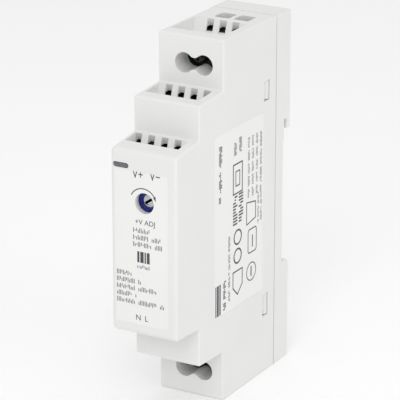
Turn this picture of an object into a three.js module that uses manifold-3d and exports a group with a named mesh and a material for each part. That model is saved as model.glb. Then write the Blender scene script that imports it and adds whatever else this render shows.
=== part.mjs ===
// A one-module power supply for a 35 mm DIN rail, as an assembly of its separate pieces.
// Frame, in millimetres: the origin is on the rail seat, at mid-width and at the rail's centre height.
// +X is the object's right side seen from the front, +Y points from the front to the rail, +Z is up.
import * as THREE from "three";
import { mergeVertices } from "three/addons/utils/BufferGeometryUtils.js";
import Module from "manifold-3d";

const wasm = await Module();
wasm.setup();

// ---- driving dimensions -----------------------------------------------------------------------
const WIDTH = 17.5;
const HALF = WIDTH / 2;
const HEIGHT = 90;
const TOP = 46;
const BOTTOM = TOP - HEIGHT;
const BACK = 2.7; // behind the rail seat
const FRONT = -51.8; // front face of the first block
const SECOND_FRONT = -41.3;
const THIRD_FRONT = -30.1;
// heights of the steps: each step's face falls a little from the block behind it to its own front edge
const UPPER = {
  third: TOP,
  secondRear: 33.9,
  secondFront: 33.2,
  firstRear: 24.8,
  firstFront: 23.7,
  into: -1,
};
const LOWER = {
  third: BOTTOM,
  secondRear: -31.5,
  secondFront: -31,
  firstRear: -21.6,
  firstFront: -21.3,
  into: 1,
};
const WALL = 1.6;
const SHELL_REAR = -4.5; // the seam between shell and base
const BASE_FRONT = -4.2;
const INNER = HALF - WALL;

// vents: a trough in each step from a lip back to a wall with a row of slots, and the drop to its floor
const FIRST_VENT = { lip: -47, back: -42.3, drop: 3.5, slots: [-6.8, -3.27, 0.26, 3.79] };
const SECOND_VENT = { lip: -37.8, back: -31.25, drop: 3.5, slots: [-5.1, -1.7, 1.7, 5.1] };
const THIRD_VENT = { lip: -26.2, back: -14.7, drop: 3, slots: [-3.4, 0, 3.4] };
const VENT_FLOOR = 1.1;
const VENT_LEFT = -7.75;
const VENT_RIGHT = 6.45;
const LIP_WALL = 2.2; // height of the wall behind the lip
const SLOT_WIDTH = 1.8;
const SLOT_HEIGHT = 2;

// terminals
const POLE_OFFSET = 2.6; // half of the pole pitch
const TERMINAL_X = 0.75; // the pair sits a little right of the middle
const TERMINAL_Z = 39.3;
const SCREW_WELL_R = 2.45;
const SCREW_WELL_NECK = 1.45;
const SCREW_WELL_END = -24.1;
const WIRE_ENTRY = { halfX: 2, front: -12.6, back: -8.4 };
const SCREW_HEAD_R = 1.9;
const SCREW_HEAD_FRONT = -23.6;
const SCREW_HEAD_BACK = -21.95;
const SCREW_R = 1.25;
const SCREW_TIP = -12.6;

// front fittings
const TRIMMER = { x: 0.2, z: 11.5, holeR: 2.5 };
const LIGHT = { x: -6, z: 19.9, length: 4, height: 1.1 };
const LIGHT_STEM = { x0: -6.7, x1: -4.5, z0: 19.05, z1: 19.75 };

// snap latches
const LATCH_FRONT = -10.5;
const LATCH_BACK = -7.7;
const UPPER_LATCH = [26.1, 31.1];
const LOWER_LATCH = [-29.2, -23.4];

// rail recess and clip
const HOOK_TIP = 16.4;
const HOOK_SLOT_TOP = 18.9;
const RAIL_SLOT = 1.2;
const CLIP_BLOCK_TOP = -17.9;
const SEAT_HALF = 6.5;
const CLIP_TIP = -16.6;

const ROUND = 32;

// ---- solids -----------------------------------------------------------------------------------
function toSolid(geometry) {
  const bare = geometry.index ? geometry.toNonIndexed() : geometry.clone();
  bare.deleteAttribute("normal");
  bare.deleteAttribute("uv");
  const merged = mergeVertices(bare, 1e-4);
  return new wasm.Manifold(
    new wasm.Mesh({
      numProp: 3,
      vertProperties: merged.attributes.position.array,
      triVerts: new Uint32Array(merged.index.array),
    }),
  );
}

function toGeometry(solid) {
  const mesh = solid.getMesh();
  const geometry = new THREE.BufferGeometry();
  geometry.setAttribute("position", new THREE.BufferAttribute(mesh.vertProperties, 3));
  geometry.setIndex(new THREE.BufferAttribute(mesh.triVerts, 1));
  return geometry;
}

const join = (...pieces) => pieces.reduce((all, piece) => all.add(piece));
const cut = (body, ...tools) => tools.reduce((left, tool) => left.subtract(tool), body);

// A block between two values on each axis.
function block(x0, x1, y0, y1, z0, z1) {
  const box = new THREE.BoxGeometry(x1 - x0, y1 - y0, z1 - z0);
  box.translate((x0 + x1) / 2, (y0 + y1) / 2, (z0 + z1) / 2);
  return toSolid(box);
}

// A prism along X with its outline in [y, z].
function prismX(outline, x0, x1) {
  const shape = new THREE.Shape(outline.map(([y, z]) => new THREE.Vector2(y, z)));
  const geometry = new THREE.ExtrudeGeometry(shape, { depth: x1 - x0, bevelEnabled: false });
  const toYZ = new THREE.Matrix4().set(0, 0, 1, x0, 1, 0, 0, 0, 0, 1, 0, 0, 0, 0, 0, 1);
  return toSolid(geometry.applyMatrix4(toYZ));
}

// A prism along Y with a THREE.Shape in (x, z), from y0 back to y1.
function prismY(shape, y0, y1, curveSegments = 12) {
  const depth = y1 - y0;
  const geometry = new THREE.ExtrudeGeometry(shape, { depth, bevelEnabled: false, curveSegments });
  geometry.rotateX(Math.PI / 2);
  geometry.translate(0, y1, 0);
  return toSolid(geometry);
}

// A round bar along an axis ("x", "y" or "z"); a and b are the two coordinates across it, in axis order.
function bar(axis, a, b, radius, from, to, sides = ROUND) {
  const geometry = new THREE.CylinderGeometry(radius, radius, to - from, sides);
  const middle = (from + to) / 2;
  if (axis === "x") geometry.rotateZ(Math.PI / 2).translate(middle, a, b);
  if (axis === "y") geometry.translate(a, middle, b);
  if (axis === "z") geometry.rotateX(Math.PI / 2).translate(a, b, middle);
  return toSolid(geometry);
}

// A ring about an axis along X: the tube between two radii.
function ringX(y, z, inner, outer, x0, x1) {
  return cut(bar("x", y, z, outer, x0, x1), bar("x", y, z, inner, x0 - 1, x1 + 1));
}

// ---- the scene graph --------------------------------------------------------------------------
const supply = new THREE.Group();

function piece(name, solid, look, parent = supply) {
  const mesh = new THREE.Mesh(toGeometry(solid), new THREE.MeshStandardMaterial(look));
  mesh.name = name;
  parent.add(mesh);
  return mesh;
}

const LOOK = {
  housing: { color: 0xf2f2f0, roughness: 0.5, metalness: 0 },
  clip: { color: 0xe9e9e6, roughness: 0.5, metalness: 0 },
  steel: { color: 0xb9bcc0, roughness: 0.35, metalness: 1 },
  brass: { color: 0xc9a656, roughness: 0.35, metalness: 1 },
  window: { color: 0x55585c, roughness: 0.25, metalness: 0 },
  led: { color: 0x9fd8a8, roughness: 0.2, metalness: 0 },
  trimmerBlue: { color: 0x1b2a8c, roughness: 0.4, metalness: 0 },
  rotor: { color: 0xe4e4e0, roughness: 0.45, metalness: 0 },
  board: { color: 0x1f5a33, roughness: 0.5, metalness: 0 },
  sheet: { color: 0xe8e4d4, roughness: 0.6, metalness: 0 },
  terminal: { color: 0xd8d8d4, roughness: 0.55, metalness: 0 },
  black: { color: 0x1c1c1e, roughness: 0.5, metalness: 0 },
  sleeve: { color: 0x20242e, roughness: 0.35, metalness: 0 },
  disc: { color: 0x2d5fa8, roughness: 0.4, metalness: 0 },
  film: { color: 0xd9b41c, roughness: 0.45, metalness: 0 },
  ferrite: { color: 0x33343a, roughness: 0.7, metalness: 0 },
  copper: { color: 0xb5652d, roughness: 0.35, metalness: 1 },
  tape: { color: 0xd8c53a, roughness: 0.5, metalness: 0 },
};

// ---- housing shell ----------------------------------------------------------------------------
const below = (z) => TOP + BOTTOM - z;

// A closed outline in [y, z] from a function that gives one half of it, from the rear forwards.
const whole = (half) => [...half(UPPER), ...half(LOWER).reverse()];

function shellHalf({ third, secondRear, secondFront, firstRear, firstFront, into }) {
  return [
    [SHELL_REAR, third],
    [THIRD_FRONT, third],
    [THIRD_FRONT, secondRear],
    [SECOND_FRONT, secondFront],
    [SECOND_FRONT, firstRear],
    [FRONT + 1, firstFront],
    [FRONT + 0.3, firstFront + into * 0.3],
    [FRONT, firstFront + into],
  ];
}

// The room left inside: it keeps clear of the vents' floors and of the screw wells.
function cavityHalf({ third, secondRear, firstRear, into }) {
  const underThird = third + into * (THIRD_VENT.drop + VENT_FLOOR);
  const underSecond = secondRear + into * (SECOND_VENT.drop + VENT_FLOOR);
  const underFirst = firstRear + into * (FIRST_VENT.drop + VENT_FLOOR);
  const wellShelf = secondRear - into * WALL;
  const behindThird = THIRD_VENT.back + WALL;
  return [
    [SHELL_REAR + 1, third + into * WALL],
    [behindThird, third + into * WALL],
    [behindThird, underThird],
    [SCREW_WELL_END, underThird],
    [SCREW_WELL_END, wellShelf],
    [THIRD_FRONT + WALL, wellShelf],
    [THIRD_FRONT + WALL, underSecond],
    [SECOND_FRONT + WALL, underSecond],
    [SECOND_FRONT + WALL, underFirst],
    [FRONT + WALL, underFirst],
  ];
}

// A trough between a lip and a slotted wall. Its floor falls from the foot of the lip to the wall, whose
// slots open into the room behind them at reach.
function vent({ lip, back, drop, slots }, lipLevel, backLevel, reach, into) {
  const trough = prismX(
    [
      [lip, lipLevel + into * LIP_WALL],
      [back, backLevel + into * drop],
      [back, backLevel - into],
      [lip, backLevel - into],
    ],
    VENT_LEFT,
    VENT_RIGHT,
  );
  const deep = backLevel + into * (drop - 0.1);
  const heights = [deep, deep - into * SLOT_HEIGHT].sort((a, b) => a - b);
  const openings = slots.map((x) => {
    const left = Math.max(x - SLOT_WIDTH / 2, -INNER);
    const right = Math.min(x + SLOT_WIDTH / 2, VENT_RIGHT);
    return block(left, right, back - 0.5, reach, ...heights);
  });
  return [trough, ...openings];
}

function vents({ third, secondRear, secondFront, firstRear, firstFront, into }) {
  const along = THREE.MathUtils.mapLinear;
  const firstLip = along(FIRST_VENT.lip, FRONT, SECOND_FRONT, firstFront, firstRear);
  const secondLip = along(SECOND_VENT.lip, SECOND_FRONT, THIRD_FRONT, secondFront, secondRear);
  const past = WALL + 0.2;
  return [
    ...vent(FIRST_VENT, firstLip, firstRear, SECOND_FRONT + past, into),
    ...vent(SECOND_VENT, secondLip, secondRear, THIRD_FRONT + past, into),
    ...vent(THIRD_VENT, third, third, THIRD_VENT.back + past, into),
  ];
}

// The two overlapping round wells, joined by a neck, through which the terminal screws are reached.
function screwWells(z) {
  const reach = [THIRD_FRONT - 1, SCREW_WELL_END + 1];
  const wells = [-1, 1].map((side) =>
    bar("y", TERMINAL_X + side * POLE_OFFSET, z, SCREW_WELL_R, ...reach),
  );
  const neck = block(
    TERMINAL_X - POLE_OFFSET,
    TERMINAL_X + POLE_OFFSET,
    ...reach,
    z - SCREW_WELL_NECK,
    z + SCREW_WELL_NECK,
  );
  return [...wells, neck];
}

function wireEntries(z0, z1) {
  return [-1, 1].map((side) => {
    const x = TERMINAL_X + side * POLE_OFFSET;
    return block(
      x - WIRE_ENTRY.halfX,
      x + WIRE_ENTRY.halfX,
      WIRE_ENTRY.front,
      WIRE_ENTRY.back,
      z0,
      z1,
    );
  });
}

function latchWindows() {
  return [UPPER_LATCH, LOWER_LATCH].flatMap(([z0, z1]) => [
    block(INNER - 0.5, HALF + 1, LATCH_FRONT, LATCH_BACK, z0, z1),
    block(-HALF - 1, -INNER + 0.5, LATCH_FRONT, LATCH_BACK, z0, z1),
  ]);
}

// The seat of the light window: a pill-shaped recess with a smaller hole behind it.
function lightSeat() {
  const halfLength = LIGHT.length / 2 + 0.08;
  const halfHeight = LIGHT.height / 2 + 0.08;
  return [
    block(
      LIGHT.x - halfLength,
      LIGHT.x + halfLength,
      FRONT - 1,
      FRONT + 0.85,
      LIGHT.z - halfHeight,
      LIGHT.z + halfHeight,
    ),
    block(
      LIGHT_STEM.x0 - 0.1,
      LIGHT_STEM.x1 + 0.1,
      FRONT + 0.8,
      FRONT + WALL + 0.5,
      LIGHT_STEM.z0 - 0.1,
      LIGHT_STEM.z1 + 0.1,
    ),
  ];
}

function housingShell() {
  return cut(
    prismX(whole(shellHalf), -HALF, HALF),
    prismX(whole(cavityHalf), -INNER, INNER),
    ...vents(UPPER),
    ...vents(LOWER),
    ...screwWells(TERMINAL_Z),
    ...screwWells(below(TERMINAL_Z)),
    ...wireEntries(TOP - WALL - 1, TOP + 1),
    ...wireEntries(BOTTOM - 1, BOTTOM + WALL + 1),
    ...latchWindows(),
    ...lightSeat(),
    bar("y", TRIMMER.x, TRIMMER.z, TRIMMER.holeR, FRONT - 1, FRONT + WALL + 1),
  );
}

// ---- rear base, rail clip and spring ----------------------------------------------------------
const CHANNEL_HALF = 4.6;
const CHANNEL_FLOOR = -2.5;
const GROOVE_HALF = 5.6;
const GROOVE = [0.1, 1.3];
const GROOVE_TOP = -20;
const SPRING_SEAT = [-36.2, -34.7];
const SIDE_RECESS = -0.6; // the floor of the recess beside the rail seat
const HOOK_PAD = -0.15;
const HOLLOW_HALF = 5.6;

function baseOutline() {
  return [
    [BASE_FRONT, BOTTOM],
    [BACK, BOTTOM],
    [BACK, CLIP_BLOCK_TOP - 0.8],
    [BACK - 0.8, CLIP_BLOCK_TOP],
    [SIDE_RECESS, CLIP_BLOCK_TOP],
    [SIDE_RECESS, 13.6],
    [HOOK_PAD, 14],
    [HOOK_PAD, HOOK_SLOT_TOP],
    [RAIL_SLOT, HOOK_SLOT_TOP],
    [RAIL_SLOT, HOOK_TIP],
    [BACK, HOOK_TIP],
    [BACK, TOP],
    [BASE_FRONT, TOP],
  ];
}

// A snap arm on one side, with a barb that reaches into the latch window.
const ARM = { inner: 6.05, outer: 6.95, front: -10.6 };
const BARB = { root: 6.5, start: 7.2, tip: 8.55, front: -10.3, crest: -8.6, back: -7.9 };

function snapArm(side, [z0, z1]) {
  const low = z0 + 0.2;
  const high = z1 - 0.2;
  const across = [side * ARM.inner, side * ARM.outer].sort((a, b) => a - b);
  const arm = block(...across, ARM.front, BASE_FRONT + 0.5, low, high);
  const barb = new THREE.Shape([
    new THREE.Vector2(BARB.root, BARB.front),
    new THREE.Vector2(BARB.start, BARB.front),
    new THREE.Vector2(BARB.tip, BARB.crest),
    new THREE.Vector2(BARB.tip, BARB.back),
    new THREE.Vector2(BARB.root, BARB.back),
  ]);
  const geometry = new THREE.ExtrudeGeometry(barb, { depth: high - low, bevelEnabled: false });
  geometry.translate(0, 0, low);
  // half a turn about Z brings the barb to the left side, and the shift puts it back between its ends
  if (side < 0) geometry.rotateZ(Math.PI).translate(0, BARB.front + BARB.back, 0);
  return [arm, toSolid(geometry)];
}

function rearBase() {
  const seat = block(-SEAT_HALF, SEAT_HALF, -1, 0, CLIP_BLOCK_TOP - 0.5, HOOK_TIP - 0.2);
  const arms = [-1, 1].flatMap((side) => [
    ...snapArm(side, UPPER_LATCH),
    ...snapArm(side, LOWER_LATCH),
  ]);
  const springSeat = block(-1.6, 1.6, CHANNEL_FLOOR - 0.5, 1.9, ...SPRING_SEAT);
  const body = cut(
    join(prismX(baseOutline(), -HALF, HALF), seat),
    block(-HOLLOW_HALF, HOLLOW_HALF, BASE_FRONT - 1, BACK - 1.5, HOOK_SLOT_TOP + WALL, TOP - WALL),
    block(-CHANNEL_HALF, CHANNEL_HALF, CHANNEL_FLOOR, BACK + 1, BOTTOM - 1, CLIP_BLOCK_TOP),
    block(-GROOVE_HALF, GROOVE_HALF, ...GROOVE, BOTTOM - 1, GROOVE_TOP),
  );
  return join(body, springSeat, ...arms);
}

// The clip: a flat bar in the channel with a jaw at its top, flanges that run in the channel's grooves, a
// window that holds the spring, and a slot for a screwdriver.
const CLIP = { front: -0.7, back: 2.5, bottom: -43.6, jawRoot: -18.2 };
const CLIP_PLAY = 0.2;
const SPRING_WINDOW = { half: 1.9, z0: -38.9, z1: -24 };
const TOOL_SLOT = { half: 2.6, z0: -42.7, z1: -40.7 };

function railClip() {
  const outline = [
    [CLIP.front, CLIP.bottom],
    [CLIP.back, CLIP.bottom],
    [CLIP.back, CLIP_BLOCK_TOP],
    [CLIP.back - 0.6, CLIP_TIP],
    [RAIL_SLOT + 0.05, CLIP_TIP],
    [RAIL_SLOT + 0.05, CLIP.jawRoot],
    [CLIP.front, CLIP.jawRoot],
  ];
  const half = CHANNEL_HALF - CLIP_PLAY;
  const flangeHalf = GROOVE_HALF - CLIP_PLAY;
  const [grooveFront, grooveBack] = GROOVE;
  const flanges = block(
    -flangeHalf,
    flangeHalf,
    grooveFront + CLIP_PLAY,
    grooveBack - CLIP_PLAY,
    CLIP.bottom + 1.6,
    GROOVE_TOP - 0.1,
  );
  const through = [CLIP.front - 1, CLIP.back + 1];
  return cut(
    join(prismX(outline, -half, half), flanges),
    block(-SPRING_WINDOW.half, SPRING_WINDOW.half, ...through, SPRING_WINDOW.z0, SPRING_WINDOW.z1),
    block(-TOOL_SLOT.half, TOOL_SLOT.half, ...through, TOOL_SLOT.z0, TOOL_SLOT.z1),
  );
}

// A compression spring whose end turns lie flat; low and high are the wire's middle in those turns.
const SPRING = { y: 0.9, low: -34.25, high: -24.45, turns: 7, flatTurns: 0.8, radius: 1.2, wireR: 0.2 };

function clipSpring() {
  const { y, low, high, turns, flatTurns, radius, wireR } = SPRING;
  const perTurn = 14;
  const points = Array.from({ length: turns * perTurn + 1 }, (_, i) => {
    const turn = i / perTurn;
    const climb = THREE.MathUtils.clamp((turn - flatTurns) / (turns - 2 * flatTurns), 0, 1);
    const angle = 2 * Math.PI * turn;
    return new THREE.Vector3(
      radius * Math.cos(angle),
      y + radius * Math.sin(angle),
      low + climb * (high - low),
    );
  });
  const section = new THREE.Shape();
  section.absarc(0, 0, wireR, 0, 2 * Math.PI);
  return toSolid(
    new THREE.ExtrudeGeometry(section, {
      steps: 110,
      curveSegments: 3,
      extrudePath: new THREE.CatmullRomCurve3(points),
      bevelEnabled: false,
    }),
  );
}

// ---- front fittings ---------------------------------------------------------------------------
function pill(length, height) {
  const end = length / 2 - height / 2;
  const shape = new THREE.Shape();
  shape.moveTo(-end, -height / 2);
  shape.lineTo(end, -height / 2);
  shape.absarc(end, 0, height / 2, -Math.PI / 2, Math.PI / 2);
  shape.lineTo(-end, height / 2);
  shape.absarc(-end, 0, height / 2, Math.PI / 2, (3 * Math.PI) / 2);
  return shape;
}

function lightPipe() {
  const face = prismY(pill(LIGHT.length, LIGHT.height), FRONT + 0.05, FRONT + 0.8, 6);
  return join(
    face.translate(LIGHT.x, 0, LIGHT.z),
    block(LIGHT_STEM.x0, LIGHT_STEM.x1, FRONT + 0.8, FRONT + 2.8, LIGHT_STEM.z0, LIGHT_STEM.z1),
  );
}

const LED = { x: -5.6, z: 18.55, lensR: 0.95, caseHalf: 1.15 };

function statusLed() {
  const { x, z, lensR, caseHalf } = LED;
  return join(
    bar("y", x, z, lensR, FRONT + 3.1, FRONT + 4.6, 16),
    block(x - caseHalf, x + caseHalf, FRONT + 4.5, FRONT + 5.9, z - caseHalf, z + caseHalf),
  );
}

const CASE_HALF = 3.2; // half of the trimmer case's width
const COLLAR_R = 2.3;
const ROTOR_R = 1.6;
const ROTOR_FRONT = FRONT + 2.3;
const ROTOR_BACK = FRONT + 4.1;
const ROTOR_SLOT = { half: 1.25, halfWidth: 0.27, tilt: -34 }; // tilt in degrees about +Y

function trimmerBody() {
  const { x, z } = TRIMMER;
  const case_ = [x - CASE_HALF, x + CASE_HALF, FRONT + 1.8, FRONT + 6.4, z - CASE_HALF, z + CASE_HALF];
  return cut(
    block(...case_),
    bar("y", x, z, COLLAR_R, FRONT + 1, ROTOR_FRONT + 0.1),
    bar("y", x, z, ROTOR_R + 0.05, FRONT + 1, ROTOR_BACK + 0.1),
  );
}

function trimmerRotor() {
  const { half, halfWidth, tilt } = ROTOR_SLOT;
  const slot = block(-half, half, ROTOR_FRONT - 1, ROTOR_FRONT + 0.8, -halfWidth, halfWidth);
  return cut(bar("y", 0, 0, ROTOR_R, ROTOR_FRONT, ROTOR_BACK), slot.rotate([0, tilt, 0]));
}

// ---- terminals --------------------------------------------------------------------------------
// A frame of their own: local x across the poles, z from the screw axes towards the wire entries.
const BODY_HALF = 5.05;
const BODY_Z = [-4.7, 4.9];
const BODY_FRONT = -21.8;
const BODY_BACK = -6.9;
const CAGE = { half: 2.15, halfHeight: 2.3, front: -15.6, back: -7.7, wall: 0.5 };
const CAGE_ROOM = 0.2; // between a cage and the terminal body's guide
const TONGUE = { front: -12.4, back: -11.6, half: 1.3 };

function terminalBody() {
  const poles = [-POLE_OFFSET, POLE_OFFSET];
  const guide = CAGE.half + CAGE_ROOM;
  return cut(
    block(-BODY_HALF, BODY_HALF, BODY_FRONT, BODY_BACK, ...BODY_Z),
    block(-6, 6, -23, -12.9, CAGE.halfHeight + 0.1, 6), // room for the vent over it
    ...poles.map((x) => block(x - guide, x + guide, -19.6, BODY_BACK - 0.5, -6, 6)),
    ...poles.map((x) => bar("y", x, 0, SCREW_R + 0.07, -23, -18)),
  );
}

function terminalScrew() {
  return cut(
    join(
      bar("y", 0, 0, SCREW_HEAD_R, SCREW_HEAD_FRONT, SCREW_HEAD_BACK),
      bar("y", 0, 0, SCREW_R, SCREW_HEAD_BACK - 0.2, SCREW_TIP),
    ),
    block(-2.5, 2.5, SCREW_HEAD_FRONT - 1, SCREW_HEAD_FRONT + 0.8, -0.3, 0.3),
    block(-0.3, 0.3, SCREW_HEAD_FRONT - 1, SCREW_HEAD_FRONT + 0.8, -1.2, 1.2),
  );
}

function clampCage(x) {
  const { half, halfHeight, front, back, wall } = CAGE;
  const room = half - wall;
  return cut(
    block(x - half, x + half, front, back, -halfHeight, halfHeight),
    block(x - room, x + room, front + 1.3, back - 0.8, -3, 3),
    bar("y", x, 0, SCREW_R + 0.05, front - 1, front + 2),
  );
}

// A tongue through the cage, with a leg that runs to the board on the given side.
function contactTongue(x, boardSide, depth) {
  const { front, back, half } = TONGUE;
  const ends = [x, boardSide * (BODY_HALF - 0.05)].sort((a, b) => a - b);
  return join(
    block(x - half, x + half, front, back, -depth, 2.6),
    block(...ends, front, back, -depth, 0.8 - depth),
  );
}

function terminal(bodyName, names, boardSide) {
  const group = new THREE.Group();
  piece(bodyName, terminalBody(), LOOK.terminal, group);
  names.forEach((name, i) => {
    const x = (i === 0 ? -1 : 1) * POLE_OFFSET;
    const near = Math.sign(x) === boardSide;
    const screw = piece("screw_" + name, terminalScrew(), LOOK.steel, group);
    screw.position.set(x, 0, 0);
    piece("clamp_" + name, clampCage(x), LOOK.steel, group);
    piece("contact_" + name, contactTongue(x, boardSide, near ? 6.2 : 7.6), LOOK.brass, group);
  });
  supply.add(group);
  return group;
}

// ---- circuit board and what it carries --------------------------------------------------------
const BOARD_FACE = -4.4; // the board's component side
const ON_BOARD = BOARD_FACE + 0.1;

// The board follows the cavity's steps at a clearance, and is notched for the snap arms and the LED.
function boardHalf(clearance) {
  return (levels) => {
    const { into, third, secondRear, firstRear } = levels;
    const under = (vent) => into * (vent.drop + VENT_FLOOR + clearance);
    const besideArms = third + into * 20.4;
    const rim = third + under(THIRD_VENT);
    const underSecond = secondRear + under(SECOND_VENT);
    const underFirst = firstRear + under(FIRST_VENT);
    const behindLight = underFirst + into * 2.5;
    return [
      [-5, besideArms],
      [LATCH_FRONT - clearance, besideArms],
      [LATCH_FRONT - clearance, rim],
      [SCREW_WELL_END + clearance, rim],
      [SCREW_WELL_END + clearance, secondRear - into * 0.3],
      [THIRD_FRONT + WALL + clearance, secondRear - into * 0.3],
      [THIRD_FRONT + WALL + clearance, underSecond],
      [SECOND_FRONT + WALL + clearance, underSecond],
      [SECOND_FRONT + WALL + clearance, underFirst],
      [FRONT + 6.4, underFirst],
      [FRONT + 6.4, behindLight],
      [FRONT + 3, behindLight],
    ];
  };
}

function mainBoard() {
  return prismX(whole(boardHalf(0.4)), BOARD_FACE - WALL, BOARD_FACE);
}

function insulationSheet() {
  return prismX(whole(boardHalf(0.7)), -INNER + 0.3, -INNER + 0.7);
}

const standing = (y, z, radius, height) => bar("x", y, z, radius, ON_BOARD, ON_BOARD + height);
const onBoard = (height, y0, y1, z0, z1) => block(ON_BOARD, ON_BOARD + height, y0, y1, z0, z1);

// A coated disc on edge: its axis runs along Z, and its flat rim stands on the board.
function disc(y, z, radius, thickness) {
  return bar("z", ON_BOARD + radius, y, radius, z - thickness / 2, z + thickness / 2);
}

const CHOKE = { y: -34.3, z: -21.4, inner: 2, outer: 3.9 };
function chokeCore() {
  return ringX(CHOKE.y, CHOKE.z, CHOKE.inner, CHOKE.outer, -1.6, 2.6);
}

function chokeWinding(side) {
  const sleeve = cut(
    ringX(CHOKE.y, CHOKE.z, CHOKE.inner - 0.6, CHOKE.outer + 0.6, -2.4, 3.4),
    ringX(CHOKE.y, CHOKE.z, CHOKE.inner - 0.15, CHOKE.outer + 0.15, -1.75, 2.75),
  );
  const half = [CHOKE.y + side * 0.8, CHOKE.y + side * 6].sort((a, b) => a - b);
  return sleeve.intersect(block(-3, 4, ...half, CHOKE.z - 6, CHOKE.z + 6));
}

const TRANSFORMER = { y: -29.5, z: -4.6 };
function transformerCore() {
  const { y, z } = TRANSFORMER;
  const frame = cut(
    block(-3.6, 5.4, y - 7.4, y + 7.4, z - 7.9, z + 7.9),
    block(-4, 6, y - 5.2, y + 5.2, z - 5.6, z + 5.6),
  );
  return join(frame, block(-1.1, 2.9, y - 1.9, y + 1.9, z - 6, z + 6));
}

function transformerBobbin() {
  const { y, z } = TRANSFORMER;
  const flange = (z0, z1) => block(-3.9, 6.2, y - 4.9, y + 4.9, z0, z1);
  const former = block(-1.9, 3.7, y - 2.7, y + 2.7, z - 5, z + 5);
  return cut(
    join(flange(z - 5.3, z - 4.5), flange(z + 4.5, z + 5.3), former),
    block(-1.3, 3.1, y - 2.1, y + 2.1, z - 7, z + 7),
  );
}

function transformerWinding() {
  const { y, z } = TRANSFORMER;
  return cut(
    block(-3.7, 5.9, y - 4.7, y + 4.7, z - 4.3, z + 4.3),
    block(-2.1, 3.9, y - 2.9, y + 2.9, z - 6, z + 6),
  );
}

// A can with a rolled groove near its base, standing on the board.
function canStanding(y, z, radius, height) {
  const groove = ringX(y, z, radius - 0.3, radius + 1, ON_BOARD + 1.2, ON_BOARD + 1.8);
  return cut(standing(y, z, radius, height), groove);
}

function bulkCapacitor() {
  const x = ON_BOARD + 5;
  const y = FRONT + 7.3;
  const groove = cut(bar("z", x, y, 6, 1.6, 2.3), bar("z", x, y, 4.6, 1, 3));
  return cut(bar("z", x, y, 4.9, -15.6, 4.2), groove);
}

function outputInductor() {
  const x1 = ON_BOARD + 7.4;
  const y = -23.6;
  const z = 24.2;
  return join(
    bar("x", y, z, 3.7, ON_BOARD, ON_BOARD + 1.1),
    bar("x", y, z, 2.9, ON_BOARD + 1, x1 - 1),
    bar("x", y, z, 3.7, x1 - 1.1, x1),
  );
}

// ---- assembly ---------------------------------------------------------------------------------
piece("housing_shell", housingShell(), LOOK.housing);
piece("rear_base", rearBase(), LOOK.housing);
piece("rail_clip", railClip(), LOOK.clip);
piece("clip_spring", clipSpring(), LOOK.steel);
piece("light_pipe", lightPipe(), LOOK.window);
piece("status_led", statusLed(), LOOK.led);
piece("trimmer_body", trimmerBody(), LOOK.trimmerBlue);
piece("trimmer_rotor", trimmerRotor(), LOOK.rotor).position.set(TRIMMER.x, 0, TRIMMER.z);

const output = terminal("output_terminal_body", ["v_plus", "v_minus"], -1);
output.position.set(TERMINAL_X, 0, TERMINAL_Z);
const input = terminal("input_terminal_body", ["line", "neutral"], 1);
input.position.set(TERMINAL_X, 0, below(TERMINAL_Z));
input.rotation.y = Math.PI;

piece("main_board", mainBoard(), LOOK.board);
piece("insulation_sheet", insulationSheet(), LOOK.sheet);
piece("input_fuse", standing(-22.9, -28, 3.9, 7.6), LOOK.black);
piece("inrush_thermistor", disc(-14.6, -27.9, 3.4, 3), LOOK.black);
piece("surge_varistor", disc(-14.6, -23.6, 3.8, 3), LOOK.disc);
piece("line_filter_capacitor", onBoard(9.4, -12.2, -6.2, -21, -9), LOOK.film);
piece("choke_core", chokeCore(), LOOK.ferrite);
piece("choke_winding_left", chokeWinding(-1), LOOK.copper);
piece("choke_winding_right", chokeWinding(1), LOOK.copper);
piece("bridge_rectifier", onBoard(2.4, -27.6, -21.4, -22.4, -17.8), LOOK.black);
piece("bulk_capacitor", bulkCapacitor(), LOOK.sleeve);
piece("transformer_core", transformerCore(), LOOK.ferrite);
piece("transformer_bobbin", transformerBobbin(), LOOK.black);
piece("transformer_winding", transformerWinding(), LOOK.tape);
piece("switching_controller", onBoard(1.6, -37.6, -33.6, 5, 10), LOOK.black);
piece("optocoupler", onBoard(3.3, -19.4, -12.8, -4, 0.6), LOOK.black);
piece("safety_capacitor", disc(-16.2, 6.4, 3.4, 2.6), LOOK.disc);
piece("output_rectifier", onBoard(2.2, -20.2, -14.2, 18, 22.2), LOOK.black);
piece("output_capacitor_1", canStanding(-34.4, 16.8, 4, 10.6), LOOK.sleeve);
piece("output_capacitor_2", canStanding(-25.4, 14.6, 4, 10.6), LOOK.sleeve);
piece("output_inductor", outputInductor(), LOOK.ferrite);

export default supply;
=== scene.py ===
"""A stepped one-module power supply for a 35 mm rail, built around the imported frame.

Sizes in this file are millimetres until a mesh is made, and then metres. The frame's own axes are used:
+X to the right seen from the front, +Y from the front towards the rail, +Z up, the origin on the rail seat.
"""

import math

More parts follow.
